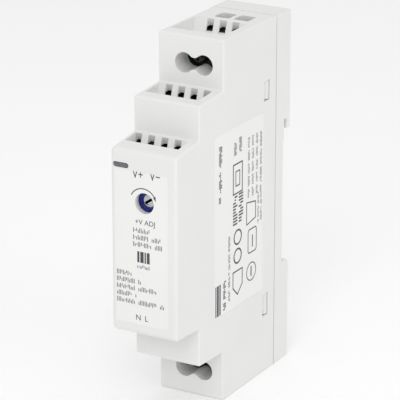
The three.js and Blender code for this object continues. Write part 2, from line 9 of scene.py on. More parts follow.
import bmesh
import bpy
import numpy as np
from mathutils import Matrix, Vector


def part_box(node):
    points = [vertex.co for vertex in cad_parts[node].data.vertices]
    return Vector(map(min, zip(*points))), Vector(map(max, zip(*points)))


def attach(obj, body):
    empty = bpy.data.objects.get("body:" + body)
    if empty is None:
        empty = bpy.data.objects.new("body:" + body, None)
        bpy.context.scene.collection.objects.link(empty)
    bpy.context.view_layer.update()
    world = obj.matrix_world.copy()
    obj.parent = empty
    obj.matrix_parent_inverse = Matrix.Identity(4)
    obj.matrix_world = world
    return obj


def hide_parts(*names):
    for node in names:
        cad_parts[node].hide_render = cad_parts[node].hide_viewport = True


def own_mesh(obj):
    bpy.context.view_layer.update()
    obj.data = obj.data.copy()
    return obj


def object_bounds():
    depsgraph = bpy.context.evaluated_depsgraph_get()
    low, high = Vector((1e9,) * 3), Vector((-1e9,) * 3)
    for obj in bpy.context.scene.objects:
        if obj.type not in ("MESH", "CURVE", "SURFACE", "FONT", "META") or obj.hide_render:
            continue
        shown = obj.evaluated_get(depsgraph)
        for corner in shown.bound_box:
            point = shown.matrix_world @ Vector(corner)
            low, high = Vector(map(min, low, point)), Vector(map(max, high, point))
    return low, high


bl_info = {
    "name": "Rail Power Supply",
    "version": (1, 0, 0),
    "blender": (4, 5, 0),
    "location": "3D View > Sidebar > Supply",
    "description": "Builds the moulded housing, fittings and inner parts of a rail power supply",
    "category": "Mesh",
}

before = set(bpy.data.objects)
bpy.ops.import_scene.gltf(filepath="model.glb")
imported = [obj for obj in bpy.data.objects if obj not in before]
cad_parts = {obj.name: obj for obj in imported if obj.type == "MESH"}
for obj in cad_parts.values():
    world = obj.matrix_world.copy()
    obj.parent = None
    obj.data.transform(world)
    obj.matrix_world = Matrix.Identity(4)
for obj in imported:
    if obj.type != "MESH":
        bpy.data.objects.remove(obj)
CAD_LOW, CAD_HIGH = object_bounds()

MM = 0.001
POLES = ("v_plus", "v_minus", "line", "neutral")


def box_mm(node):
    """The lowest and highest corner of a CAD node, in millimetres."""
    low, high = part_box(node)
    return np.array(low) / MM, np.array(high) / MM


# ---- places taken from the frame --------------------------------------------------------------
SHELL_LOW, SHELL_HIGH = box_mm("housing_shell")
HALF = SHELL_HIGH[0]
FRONT = SHELL_LOW[1]
SHELL_REAR = SHELL_HIGH[1]
TOP = SHELL_HIGH[2]
BOTTOM = SHELL_LOW[2]
SECOND_FRONT = FRONT + 10.5  # the front of the middle step
THIRD_FRONT = FRONT + 21.7  # the front of the rear step
LIGHT_LOW, LIGHT_HIGH = box_mm("light_pipe")
LIGHT_X = (LIGHT_LOW[0] + LIGHT_HIGH[0]) / 2
LIGHT_Z = LIGHT_HIGH[2] - 0.55  # half the window's height below its top
ROTOR_LOW, ROTOR_HIGH = box_mm("trimmer_rotor")
TRIM_X = (ROTOR_LOW[0] + ROTOR_HIGH[0]) / 2
TRIM_Z = (ROTOR_LOW[2] + ROTOR_HIGH[2]) / 2
TRIM_WELL, TRIM_COLLAR = 2.5, 2.3  # radius of the opening in the shell and of the step in the blue case
SCREW_AXIS = {}
for pole in POLES:
    low, high = box_mm("screw_" + pole)
    SCREW_AXIS[pole] = ((low[0] + high[0]) / 2, (low[2] + high[2]) / 2)
UPPER_SCREWS = [SCREW_AXIS["v_plus"], SCREW_AXIS["v_minus"]]
LOWER_SCREWS = [SCREW_AXIS["neutral"], SCREW_AXIS["line"]]

# levels of the steps, measured from the top and from the bottom of the shell
UPPER = {
    "third": TOP,
    "second_rear": TOP - 12.1,
    "second_front": TOP - 12.8,
    "first_rear": TOP - 21.2,
    "first_front": TOP - 22.3,
    "into": -1,  # the way down into the shell
}
LOWER = {
    "third": BOTTOM,
    "second_rear": BOTTOM + 12.5,
    "second_front": BOTTOM + 13,
    "first_rear": BOTTOM + 22.4,
    "first_front": BOTTOM + 22.7,
    "into": 1,
}


# ---- settings ---------------------------------------------------------------------------------
def number(name, description, default, **limits):
    """A number among the settings."""
    return bpy.props.FloatProperty(name=name, description=description, default=default, **limits)


def tint(name, description, default):
    """A colour among the settings."""
    return bpy.props.FloatVectorProperty(name=name, description=description, subtype="COLOR", default=default)


class SupplyHousingSettings(bpy.types.PropertyGroup):
    """Sizes in millimetres and colour of the moulded housing."""

    colour: tint("Colour", "Base colour of the moulding", (0.80, 0.80, 0.79))
    wall: number("Wall", "Wall thickness", 1.6, min=0.8, max=2.5)
    side_round: number("Side rounding", "Radius along the side edges", 0.42, min=0.1, max=1)
    front_round: number("Front rounding", "Radius along the front block's sides", 0.85, min=0.1, max=1.5)
    slot_pitch: number("Slot pitch", "Distance between vent slots", 3.4, min=2.5, max=4)
    slot_width: number("Slot width", "Width of each vent slot", 1.8, min=1, max=2.5)


class SupplyPrintSettings(bpy.types.PropertyGroup):
    """The markings on the front and side."""

    ink: tint("Ink", "Colour of the printed markings", (0.045, 0.047, 0.055))
    relief: number("Relief", "Thickness of the ink in millimetres", 0.02, min=0.005, max=0.05)


class SupplyStageSettings(bpy.types.PropertyGroup):
    """Camera and light."""

    azimuth: number("Azimuth", "Camera direction round the object", math.radians(29.93), subtype="ANGLE")
    elevation: number("Elevation", "Camera height over the horizon", math.radians(19.36), subtype="ANGLE")
    distance: number("Distance", "Camera distance from its target", 0.5729, unit="LENGTH")
    lens: number("Lens", "Focal length in millimetres", 217.26)
    light: number("Light", "Strength of the soft boxes and the sky", 1.0, min=0)


# ---- outlines and surfaces --------------------------------------------------------------------
def rounded(corners, step=4.0):
    """A closed outline from (a, b, radius) corners: each corner is an arc tangent to both its edges, drawn in
    eight parts, and each straight stretch is divided evenly so that no part is longer than step."""
    count = len(corners)
    arcs = []
    for i, (a, b, radius) in enumerate(corners):
        here = np.array([a, b], float)
        before = np.array(corners[i - 1][:2], float) - here
        after = np.array(corners[(i + 1) % count][:2], float) - here
        before /= np.linalg.norm(before)
        after /= np.linalg.norm(after)
        half = math.acos(np.clip(before @ after, -1, 1)) / 2
        if radius <= 0 or half > math.radians(89):
            arcs.append(here[None])
            continue
        middle = (before + after) / np.linalg.norm(before + after)
        centre = here + middle * radius / math.sin(half)
        start = here + before * radius / math.tan(half) - centre
        end = here + after * radius / math.tan(half) - centre
        sweep = math.atan2(start[0] * end[1] - start[1] * end[0], start @ end)
        turn = np.linspace(0, sweep, 9)[:, None]
        side = np.array([-start[1], start[0]])
        arcs.append(centre + start * np.cos(turn) + side * np.sin(turn))
    points = []
    for i, arc in enumerate(arcs):
        following = arcs[(i + 1) % count][0]
        gap = np.linalg.norm(following - arc[-1])
        parts = max(1, int(math.ceil(gap / step)))
        share = np.linspace(0, 1, parts + 1)[1:-1, None]
        points += [arc, arc[-1] + share * (following - arc[-1])]
    return np.concatenate(points)


def area_of(outline):
    """Signed area: positive when the outline runs from its first axis towards its second."""
    following = np.roll(outline, -1, axis=0)
    return 0.5 * np.sum(outline[:, 0] * following[:, 1] - outline[:, 1] * following[:, 0])


def inward(outline):
    """For each point, the step that moves both its edges inwards by one unit, limited at sharp corners."""
    following = np.roll(outline, -1, axis=0) - outline
    following /= np.maximum(np.linalg.norm(following, axis=1, keepdims=True), 1e-9)
    normal = np.stack([-following[:, 1], following[:, 0]], axis=1)
    both = normal + np.roll(normal, 1, axis=0)
    length = np.maximum(np.sum(both * both, axis=1, keepdims=True) / 2, 0.35)
    return both / length


AXES = {"x": (1, 2, 0), "y": (2, 0, 1), "z": (0, 1, 2)}


def spread(first, second, along, axis):
    """Coordinates across an axis and along it, put in X, Y, Z order. Across X they are Y and Z, across Y they
    are Z and X, and across Z they are X and Y."""
    points = np.empty(first.shape + (3,))
    for value, index in zip((first, second, along), AXES[axis]):
        points[..., index] = value
    return points


def prism(outline, low, high, axis="x", fillet=0.0):
    """The outline carried along an axis from low to high. Near both ends it draws in by fillet times one
    minus the sine of a quarter turn while the place along the axis runs with the cosine, so the edges are
    round. The fillet may be one number or one for each point. Returns a closed surface's points and faces."""
    if area_of(outline) < 0:
        outline = outline[::-1]
        fillet = fillet[::-1] if isinstance(fillet, np.ndarray) else fillet
    radius = np.broadcast_to(np.asarray(fillet, float), len(outline))
    rounds = np.any(radius > 0)
    turn = np.linspace(0, math.pi / 2, 5) if rounds else np.array([0.0])
    inset = radius[None] * (1 - np.sin(turn))[:, None]
    back = radius[None] * (1 - np.cos(turn))[:, None]
    inset = np.concatenate([inset, inset[::-1]])
    along = np.concatenate([low + back, (high - back)[::-1]])
    ring = outline[None] + inset[..., None] * inward(outline)[None]
    points = spread(ring[..., 0], ring[..., 1], along, axis)
    return closed_rings(points)


def ring_quads(index):
    """Faces between each ring of point numbers and the next."""
    here, ahead = index[:-1], index[1:]
    quads = np.stack([here, np.roll(here, -1, axis=1), np.roll(ahead, -1, axis=1), ahead], axis=-1)
    return quads.reshape(-1, 4).tolist()


def closed_rings(points):
    """Points of rings stacked along a path, [ring, place, xyz], as a surface closed by a flat face at each
    end."""
    rings, around = points.shape[:2]
    index = np.arange(rings * around).reshape(rings, around)
    faces = ring_quads(index) + [index[0, ::-1].tolist(), index[-1].tolist()]
    return points.reshape(-1, 3), faces


def turned(profile, centre, sides):
    """A profile of (radius, place along Y) turned about the line along Y through centre, whose two values are
    Z and X. The profile starts and ends on that line, where each end closes in one point."""
    profile = np.array(profile, float)
    angle = np.linspace(0, 2 * math.pi, sides, endpoint=False)
    radius, place = profile[1:-1, 0, None], profile[1:-1, 1, None]
    first = centre[0] + radius * np.cos(angle)
    second = centre[1] + radius * np.sin(angle)
    rings = spread(first, second, np.broadcast_to(place, first.shape), "y")
    index = np.arange(len(rings) * sides).reshape(len(rings), sides)
    poles = spread(np.full(2, float(centre[0])), np.full(2, float(centre[1])), profile[[0, -1], 1], "y")
    low, high = index.size, index.size + 1
    start = np.stack([np.full(sides, low), np.roll(index[0], -1), index[0]], axis=-1)
    finish = np.stack([np.full(sides, high), index[-1], np.roll(index[-1], -1)], axis=-1)
    points = np.concatenate([rings.reshape(-1, 3), poles])
    return points, ring_quads(index) + start.tolist() + finish.tolist()


def tube(path, radius, sides):
    """A round section carried along a path of points, with a frame that turns as little as it can, closed at
    both ends."""
    path = np.array(path, float)
    tangent = np.gradient(path, axis=0)
    tangent /= np.linalg.norm(tangent, axis=1, keepdims=True)
    normal = np.zeros_like(path)
    start = np.cross(tangent[0], [0.3, 0.5, 0.81])
    normal[0] = start / np.linalg.norm(start)
    for i in range(1, len(path)):
        carried = normal[i - 1] - tangent[i] * (normal[i - 1] @ tangent[i])
        normal[i] = carried / np.linalg.norm(carried)
    side = np.cross(tangent, normal)
    angle = np.linspace(0, 2 * math.pi, sides, endpoint=False)
    rings = (
        path[:, None]
        + radius * np.cos(angle)[None, :, None] * normal[:, None]
        + radius * np.sin(angle)[None, :, None] * side[:, None]
    )
    return closed_rings(rings)


def block(x0, x1, y0, y1, z0, z1):
    """A plain cutter between two values on each axis."""
    outline = np.array([[y0, z0], [y1, z0], [y1, z1], [y0, z1]], float)
    return prism(outline, x0, x1)


def rectangle(a0, a1, b0, b1, corner):
    """The outline of a rectangle with round corners."""
    return rounded([(a0, b0, corner), (a1, b0, corner), (a1, b1, corner), (a0, b1, corner)], step=50)


def slab(x0, x1, y0, y1, z0, z1, corner, fillet, axis="x"):
    """A block with round corners across an axis and round edges along it."""
    spans = ((x0, x1), (y0, y1), (z0, z1))
    first, second, along = (spans[i] for i in AXES[axis])
    return prism(rectangle(*first, *second, corner), *along, axis, fillet)


def circle(a, b, radius, sides=64):
    """A round outline about a point."""
    angle = np.linspace(0, 2 * math.pi, sides, endpoint=False)
    return np.stack([a + radius * np.cos(angle), b + radius * np.sin(angle)], axis=1)


def merged(*parts):
    """Several surfaces as one set of points and faces."""
    points, faces, start = [], [], 0
    for some_points, some_faces in parts:
        points.append(some_points)
        faces += [[i + start for i in face] for face in some_faces]
        start += len(some_points)
    return np.concatenate(points), faces


# ---- objects ----------------------------------------------------------------------------------
SMOOTH_BELOW = math.radians(32)
SAME_PLANE = math.radians(0.6)


def make_object(name, surface):
    """A mesh object in metres from a surface in millimetres, shaded smooth below an angle."""
    points, faces = surface
    mesh = bpy.data.meshes.new(name)
    mesh.from_pydata((np.asarray(points) * MM).tolist(), [], faces)
    bm = bmesh.new()
    bm.from_mesh(mesh)
    bmesh.ops.recalc_face_normals(bm, faces=bm.faces)
    bm.to_mesh(mesh)
    bm.free()
    mesh.shade_smooth()
    mesh.set_sharp_from_angle(angle=SMOOTH_BELOW)
    made = bpy.data.objects.new(name, mesh)
    bpy.context.scene.collection.objects.link(made)
    return made


def evaluated_copy(obj):
    """The object's mesh with its modifiers applied."""
    graph = bpy.context.evaluated_depsgraph_get()
    return bpy.data.meshes.new_from_object(obj.evaluated_get(graph))


def tidy_mesh(mesh):
    """Merges doubled points and joins faces that lie in one plane."""
    bm = bmesh.new()
    bm.from_mesh(mesh)
    bmesh.ops.remove_doubles(bm, verts=bm.verts, dist=2e-6)
    bmesh.ops.dissolve_limit(
        bm, angle_limit=SAME_PLANE, verts=bm.verts, edges=bm.edges, delimit={"MATERIAL"}
    )
    bm.to_mesh(mesh)
    bm.free()


def carve(body, cutters, look=None):
    """Cuts every cutter surface out of the body, exactly. The cut faces take the look, if there is one."""
    cutter = make_object("cutter", merged(*cutters))
    modifier = body.modifiers.new("carve", "BOOLEAN")
    if look:
        cutter.data.materials.append(look)
        modifier.material_mode = "TRANSFER"
    modifier.operation = "DIFFERENCE"
    modifier.solver = "EXACT"
    modifier.use_self = True
    modifier.object = cutter
    cut = evaluated_copy(body)
    body.modifiers.clear()
    body.data = cut
    bpy.data.objects.remove(cutter)
    tidy_mesh(body.data)


def soften(obj, width, segments=2, angle=math.radians(38)):
    """Rounds the edges sharper than an angle by a small width in millimetres, and evens out the shading."""
    bevel = obj.modifiers.new("soft_edges", "BEVEL")
    bevel.width = width * MM
    bevel.segments = segments
    bevel.limit_method = "ANGLE"
    bevel.angle_limit = angle
    bevel.miter_outer = "MITER_ARC"
    bevel.harden_normals = False
    obj.data.shade_smooth()
    weighted = obj.modifiers.new("even_shading", "WEIGHTED_NORMAL")
    weighted.keep_sharp = True
    weighted.weight = 80


def finish_piece(obj, look, body, slot, *nodes):
    """Gives a piece its material and body, and hides the CAD nodes it stands for; the slot is not used. A
    piece that was cut with several looks keeps them."""
    if len(obj.data.materials) < 2:
        obj.data.materials.clear()
        obj.data.materials.append(material(look))
    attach(obj, body)
    if nodes:
        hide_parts(*nodes)


def round_node(node, name, look, body, slot, width, segments=2):
    """Finishes a merged copy of a CAD node with its edges rounded."""
    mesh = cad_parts[node].data.copy()
    mesh.name = name
    mesh.materials.clear()
    made = bpy.data.objects.new(name, mesh)
    bpy.context.scene.collection.objects.link(made)
    tidy_mesh(mesh)
    mesh.set_sharp_from_angle(angle=math.radians(180))
    soften(made, width, segments)
    finish_piece(made, look, body, slot, node)


# ---- materials --------------------------------------------------------------------------------
class Shader:
    """A small builder for one node material on Object coordinates."""

    def __init__(self, name):
        self.material = bpy.data.materials.new(name)
        self.material.use_nodes = True
        self.nodes = self.material.node_tree.nodes
        self.links = self.material.node_tree.links
        self.surface = self.nodes["Principled BSDF"]
        self.place = self.nodes.new("ShaderNodeTexCoord").outputs["Object"]

    def set(self, **values):
        """Sets plain values on the shader's own sockets."""
        names = {
            "rough": "Roughness",
            "metal": "Metallic",
            "coat": "Coat Weight",
            "coat_rough": "Coat Roughness",
            "ior": "IOR",
            "anisotropic": "Anisotropic",
        }
        for key, value in values.items():
            self.surface.inputs[names[key]].default_value = value
        return self

    def mapped(self, scale):
        """Object coordinates, scaled on each axis."""
        mapping = self.nodes.new("ShaderNodeMapping")
        mapping.inputs["Scale"].default_value = scale
        self.links.new(self.place, mapping.inputs["Vector"])
        return mapping.outputs["Vector"]

    def noise(self, scale, detail=3, roughness=0.5, vector=None):
        """A noise field; scale is in cycles for each metre."""
        node = self.nodes.new("ShaderNodeTexNoise")
        node.inputs["Scale"].default_value = scale
        node.inputs["Detail"].default_value = detail
        node.inputs["Roughness"].default_value = roughness
        self.links.new(vector or self.place, node.inputs["Vector"])
        return node.outputs["Fac"]

    def cells(self, scale, feature="F1"):
        """A cellular field; scale is in cells for each metre."""
        node = self.nodes.new("ShaderNodeTexVoronoi")
        node.feature = feature
        node.inputs["Scale"].default_value = scale
        self.links.new(self.place, node.inputs["Vector"])
        return node.outputs["Distance"]

    def waves(self, scale, distortion, direction):
        """Parallel bands; scale is in bands for each metre, roughly."""
        node = self.nodes.new("ShaderNodeTexWave")
        node.bands_direction = direction
        node.inputs["Scale"].default_value = scale
        node.inputs["Distortion"].default_value = distortion
        self.links.new(self.place, node.inputs["Vector"])
        return node.outputs["Fac"]

    def tone(self, field, *stops):
        """Colours the surface by a ramp over a field, from two (place, colour) stops."""
        node = self.nodes.new("ShaderNodeValToRGB")
        for element, (place, colour) in zip(node.color_ramp.elements, stops):
            element.position = place
            element.color = (*colour, 1)
        self.links.new(field, node.inputs["Fac"])
        self.links.new(node.outputs["Color"], self.surface.inputs["Base Color"])

    def gloss(self, field, low, high):
        """Maps the middle of a field's range to two values of roughness."""
        node = self.nodes.new("ShaderNodeMapRange")
        for key, value in (("From Min", 0.3), ("From Max", 0.7), ("To Min", low), ("To Max", high)):
            node.inputs[key].default_value = value
        self.links.new(field, node.inputs["Value"])
        self.links.new(node.outputs["Result"], self.surface.inputs["Roughness"])

    def bump(self, field, strength, depth_mm, under=None):
        """Adds a height field, in millimetres of depth, over an earlier one."""
        node = self.nodes.new("ShaderNodeBump")
        node.inputs["Strength"].default_value = strength
        node.inputs["Distance"].default_value = depth_mm * MM
        self.links.new(field, node.inputs["Height"])
        if under is not None:
            self.links.new(under, node.inputs["Normal"])
        self.links.new(node.outputs["Normal"], self.surface.inputs["Normal"])
        return node.outputs["Normal"]


def scaled(colour, factor):
    """A colour made lighter or darker."""
    return tuple(min(1.0, c * factor) for c in colour)


def moulded(name, colour, rough=0.46, grain=0.012, spread_by=0.03):
    """Spark-eroded moulded plastic: a fine grain, broad faint changes of tone and uneven gloss."""
    look = Shader(name).set(ior=1.53)
    broad = look.noise(38, 2)
    look.tone(broad, (0.3, scaled(colour, 1 - spread_by)), (0.7, colour))
    fine = look.noise(5200, 2, 0.6)
    look.gloss(look.noise(900, 3), rough - 0.05, rough + 0.06)
    under = look.bump(broad, 0.15, 0.05)
    look.bump(fine, 0.35, grain, under)
    return look.material


def make_housing(name):
    return moulded(name, tuple(bpy.context.scene.supply_housing.colour))


def make_label(name):
    """The smooth print field: a little glossier than the moulding round it."""
    colour = tuple(bpy.context.scene.supply_housing.colour)
    return moulded(name, scaled(colour, 1.06), rough=0.34, grain=0.003)


# mouldings of one colour: colour, roughness, depth of grain in millimetres and share the tone changes by
MOULDINGS = {
    "shell_inside_painted_shade": ((0.016, 0.016, 0.017), 0.85, 0.02, 0.3),  # painted shade: the inside of the white shell is coloured near black to stand for the shade seen through the openings
    "clip_moulding": ((0.72, 0.72, 0.70), 0.42),
    # the terminal blocks are coloured near black: painted shade for the dark screw wells
    "terminal_moulding_painted_shade": ((0.028, 0.028, 0.03), 0.55),
    "black_moulding": ((0.018, 0.018, 0.02), 0.5, 0.02, 0.3),
    "trimmer_rotor": ((0.66, 0.67, 0.68), 0.35, 0.006, 0.08),
    "milky_sheet": ((0.72, 0.69, 0.58), 0.4, 0.004, 0.06),
    "yellow_box": ((0.78, 0.52, 0.03), 0.36, 0.01, 0.12),
}


def make_ink(name):
    """Pad-printed ink: dense, with the faint mottle of the pad."""
    ink = tuple(bpy.context.scene.supply_print.ink)
    look = Shader(name)
    mottle = look.noise(4200, 3, 0.6)
    look.tone(mottle, (0.35, ink), (0.75, scaled(ink, 1.9)))
    look.gloss(mottle, 0.38, 0.6)
    return look.material


def metal(name, colour, rough, along):
    """Turned or drawn metal: fine lines along one axis, with scattered dull patches."""
    look = Shader(name).set(metal=1.0, anisotropic=0.3)
    stretch = {"x": (90, 9000, 9000), "y": (9000, 90, 9000), "z": (9000, 9000, 90)}[along]
    lines = look.noise(1, 2, 0.6, look.mapped(stretch))
    patches = look.noise(700, 4)
    look.tone(patches, (0.3, scaled(colour, 0.82)), (0.7, colour))
    look.gloss(patches, rough + 0.12, rough - 0.04)
    look.bump(lines, 0.3, 0.006)
    return look.material


# metals: colour, roughness and the axis their fine lines run along
METALS = {
    "plated_steel": ((0.62, 0.63, 0.65), 0.3, "y"),
    "screw_steel_painted_shade": ((0.1, 0.1, 0.105), 0.6, "y"),  # screws coloured near black: painted shade for the dark screw wells
    "brass_strip": ((0.72, 0.52, 0.22), 0.28, "z"),
}


def make_copper(name):
    """Enamelled wire, wound side by side. Its colour runs from dark in the grooves between the turns to
    bright on their crowns: painted shade between the turns.
    """
    look = Shader(name).set(metal=1.0, coat=0.6, coat_rough=0.15)
    turns = look.waves(1500, 0.3, "Z")
    # painted shade: the colour darkens where the bump is low, between the turns
    look.tone(turns, (0.1, (0.16, 0.05, 0.018)), (0.8, (0.68, 0.27, 0.10)))
    look.set(rough=0.3)
    look.bump(turns, 0.8, 0.08)
    return look.material


def make_window(name):
    """Smoked light window: dark, smooth, a little milky inside."""
    look = Shader(name).set(coat=0.5, coat_rough=0.08, ior=1.49)
    cloud = look.noise(1800, 3)
    look.tone(cloud, (0.3, (0.085, 0.09, 0.1)), (0.7, (0.13, 0.135, 0.15)))
    look.gloss(cloud, 0.16, 0.26)
    return look.material


def make_led(name):
    look = Shader(name).set(ior=1.5, coat=0.4)
    depth = look.cells(900)
    look.tone(depth, (0.2, (0.30, 0.62, 0.34)), (0.8, (0.55, 0.86, 0.58)))
    look.set(rough=0.15)
    return look.material


def make_trimmer_blue(name):
    """Blue trimmer moulding: semi-gloss, with flow marks."""
    look = Shader(name).set(coat=0.25, coat_rough=0.3, ior=1.5)
    flow = look.noise(600, 4, 0.6, look.mapped((1, 1, 4)))
    look.tone(flow, (0.3, (0.005, 0.009, 0.12)), (0.7, (0.014, 0.022, 0.26)))
    look.gloss(flow, 0.28, 0.42)
    look.bump(look.noise(5000, 2), 0.25, 0.008)
    return look.material


def make_board(name):
    """Solder resist over copper: tracks show as slightly raised, lighter bands over the glass weave."""
    look = Shader(name).set(coat=0.4, coat_rough=0.2)
    tracks = look.cells(260, "DISTANCE_TO_EDGE")
    look.tone(tracks, (0.03, (0.008, 0.075, 0.03)), (0.09, (0.015, 0.15, 0.055)))
    weave = look.waves(900, 0.5, "Y")
    look.gloss(look.noise(600, 3), 0.3, 0.45)
    under = look.bump(tracks, 0.3, 0.04)
    look.bump(weave, 0.1, 0.01, under)
    return look.material


def make_sleeve(name):
    """Shrink sleeve on a can: glossy, with shallow wrinkles round the can."""
    look = Shader(name).set(coat=0.5, coat_rough=0.12)
    wrinkles = look.noise(260, 4, 0.55)
    look.tone(wrinkles, (0.3, (0.012, 0.015, 0.035)), (0.75, (0.03, 0.035, 0.07)))
    look.gloss(wrinkles, 0.2, 0.34)
    look.bump(wrinkles, 0.25, 0.08)
    return look.material


def make_disc(name):
    """Dipped lacquer: thick, glossy, faintly pitted."""
    look = Shader(name).set(coat=0.7, coat_rough=0.1)
    pits = look.cells(1600)
    look.tone(look.noise(240, 3), (0.3, (0.012, 0.10, 0.30)), (0.7, (0.03, 0.17, 0.46)))
    look.set(rough=0.3)
    look.bump(pits, 0.15, 0.03)
    return look.material


def make_ferrite(name):
    """Sintered ferrite: near black, grainy, with chipped specks."""
    look = Shader(name)
    specks = look.cells(2600)
    look.tone(specks, (0.1, (0.05, 0.05, 0.055)), (0.6, (0.02, 0.02, 0.023)))
    look.gloss(look.noise(1500, 3), 0.55, 0.8)
    look.bump(specks, 0.4, 0.03)
    return look.material


def make_tape(name):
    """Polyester tape over a winding: wound layers show as faint steps."""
    look = Shader(name).set(coat=0.5, coat_rough=0.15)
    layers = look.waves(700, 0.4, "Z")
    look.tone(layers, (0.2, (0.66, 0.50, 0.05)), (0.8, (0.80, 0.66, 0.10)))
    look.set(rough=0.3)
    look.bump(layers, 0.3, 0.03)
    return look.material


def make_floor(name):
    look = Shader(name)
    look.tone(look.noise(6, 3), (0.3, (0.90, 0.90, 0.90)), (0.7, (0.92, 0.92, 0.92)))
    look.set(rough=0.6)
    look.surface.inputs["Emission Color"].default_value = (1, 1, 1, 1)
    look.surface.inputs["Emission Strength"].default_value = 0.1
    return look.material


MAKERS = {
    "white_moulding": make_housing,
    "print_field": make_label,
    "marking_ink": make_ink,
    "enamelled_copper": make_copper,
    "smoked_window": make_window,
    "led_lens": make_led,
    "trimmer_blue": make_trimmer_blue,
    "solder_resist": make_board,
    "shrink_sleeve": make_sleeve,
    "dipped_lacquer": make_disc,
    "sintered_ferrite": make_ferrite,
    "yellow_tape": make_tape,
    "pale_floor": make_floor,
}
MATERIALS = {}


def material(name):
    """A named material, made once."""
    if name not in MATERIALS:
        if name in MOULDINGS:
            MATERIALS[name] = moulded(name, *MOULDINGS[name])
        elif name in METALS:
            MATERIALS[name] = metal(name, *METALS[name])
        else:
            MATERIALS[name] = MAKERS[name](name)
    return MATERIALS[name]


# ---- housing shell ----------------------------------------------------------------------------
# each vent: the lip's rear edge, the slotted wall's top edge, the drop from there to the trough's floor, the
# front of the block behind the wall, and the slots' places in steps of the pitch
FIRST_VENT = (FRONT + 4.8, SECOND_FRONT - 1, 3.5, SECOND_FRONT, (-2, -0.962, 0.076, 1.115))
SECOND_VENT = (SECOND_FRONT + 3.5, THIRD_FRONT - 1.15, 3.5, THIRD_FRONT, (-1.5, -0.5, 0.5, 1.5))
THIRD_VENT = (THIRD_FRONT + 3.9, THIRD_FRONT + 15.4, 3.0, THIRD_FRONT + 15.4, (-1, 0, 1))
THIRD_VENT_BACK = THIRD_VENT[1]
VENT_FLOOR = 1.1
VENT_LEFT, VENT_RIGHT = -7.75, 6.45
MARGIN = 0.05  # by which the slots stay clear of the trough's floor and its left end
VENT_LEAN = 0.35  # of the slotted wall, which comes forward as it goes down
LIP_WALL = 2.4
LINTEL = 1.95  # below the step, where the grooves end and the slots begin
GROOVE = 1.1  # depth of the grooves at the lintel
RIB = 0.4  # thickness of the ribs between the slots
WELL_RADIUS = 2.45
WELL_END = THIRD_FRONT + 6
NECK = 1.45  # half height of the waist between two wells
ENTRY_FRONT, ENTRY_BACK, ENTRY_HALF = THIRD_FRONT + 17.5, THIRD_FRONT + 21.7, 2


def whole(half):
    """A closed list of corners from a function that gives one half of it, from the rear forwards."""
    return half(UPPER) + half(LOWER)[::-1]


def shell_half(levels):
    """The stepped outline's corners (y, z, radius) on one side of the middle."""
    into = levels["into"]
    return [
        (SHELL_REAR, levels["third"], 0.12),
        (THIRD_FRONT, levels["third"], 0.5),
        (THIRD_FRONT, levels["second_rear"], 0.25),
        (SECOND_FRONT, levels["second_front"], 0.5),
        (SECOND_FRONT, levels["first_rear"], 0.25),
        (FRONT, levels["first_front"] + 0.05 * into, 1.5),
    ]


def cavity_half(levels, wall):
    """The room inside, clear of the vents' floors and the screw wells."""
    into = levels["into"]
    under_third = levels["third"] + into * (THIRD_VENT[2] + VENT_FLOOR)
    under_second = levels["second_rear"] + into * (SECOND_VENT[2] + VENT_FLOOR)
    under_first = levels["first_rear"] + into * (FIRST_VENT[2] + VENT_FLOOR)
    shelf = levels["second_rear"] - into * wall
    return [
        (SHELL_REAR + 1, levels["third"] + into * wall, 0),
        (THIRD_VENT_BACK + wall, levels["third"] + into * wall, 0),
        (THIRD_VENT_BACK + wall, under_third, 0),
        (WELL_END, under_third, 0),
        (WELL_END, shelf, 0),
        (THIRD_FRONT + wall, shelf, 0),
        (THIRD_FRONT + wall, under_second, 0),
        (SECOND_FRONT + wall, under_second, 0),
        (SECOND_FRONT + wall, under_first, 0),
        (FRONT + wall, under_first, 0),
    ]


def vent_cutters(vent, lip_level, level, into, settings):
    """A trough between the lip and a wall that leans over it. Between the ribs of that wall, grooves slope
    back from the step's level to a lintel, with open slots below them."""
    lip, back, drop, _, places = vent
    above = level - into
    deep = level + into * (drop - MARGIN)
    lintel = level + into * LINTEL
    foot = back - VENT_LEAN * drop
    trough = np.array(
        [
            (lip, above),
            (lip, lip_level + into * LIP_WALL),
            (foot, level + into * drop),
            (back, level),
            (back, above),
        ]
    )
    groove = np.array(
        [
            (back - 0.9, level - into * 0.02),
            (back, level - into * 0.02),
            (back + GROOVE, lintel),
            (back + 0.3, lintel + into * 0.2),
            (foot + RIB + 0.4, deep),
            (foot - 0.5, deep),
        ]
    )
    cutters = [prism(trough, VENT_LEFT, VENT_RIGHT)]
    for place in places:
        middle, half = place * settings.slot_pitch, settings.slot_width / 2
        cutters.append(prism(groove, max(middle - half, VENT_LEFT + MARGIN), middle + half))
    return cutters


def pocket_cutter(vent, level, into, settings):
    """The room right behind the ribs, over the full width, which joins the slots to the inside."""
    _, back, drop, behind, _ = vent
    lintel, deep = level + into * LINTEL, level + into * (drop - MARGIN)
    reach = behind + settings.wall + 0.3
    high, low = back - VENT_LEAN * LINTEL + RIB, back - VENT_LEAN * drop + RIB
    outline = np.array([(high, lintel), (reach, lintel), (reach, deep), (low, deep)])
    return prism(outline, VENT_LEFT + 0.06, VENT_RIGHT - 0.06)


def vent_rows(levels):
    """Each vent on one side of the middle with the level of its lip and of its step."""
    rows = []
    for vent, front, low, high in (
        (FIRST_VENT, FRONT, levels["first_front"], levels["first_rear"]),
        (SECOND_VENT, SECOND_FRONT, levels["second_front"], levels["second_rear"]),
        (THIRD_VENT, THIRD_FRONT, levels["third"], levels["third"]),
    ):
        share = (vent[0] - front) / (vent[3] - front)
        rows.append((vent, low + (high - low) * share, high))
    return rows


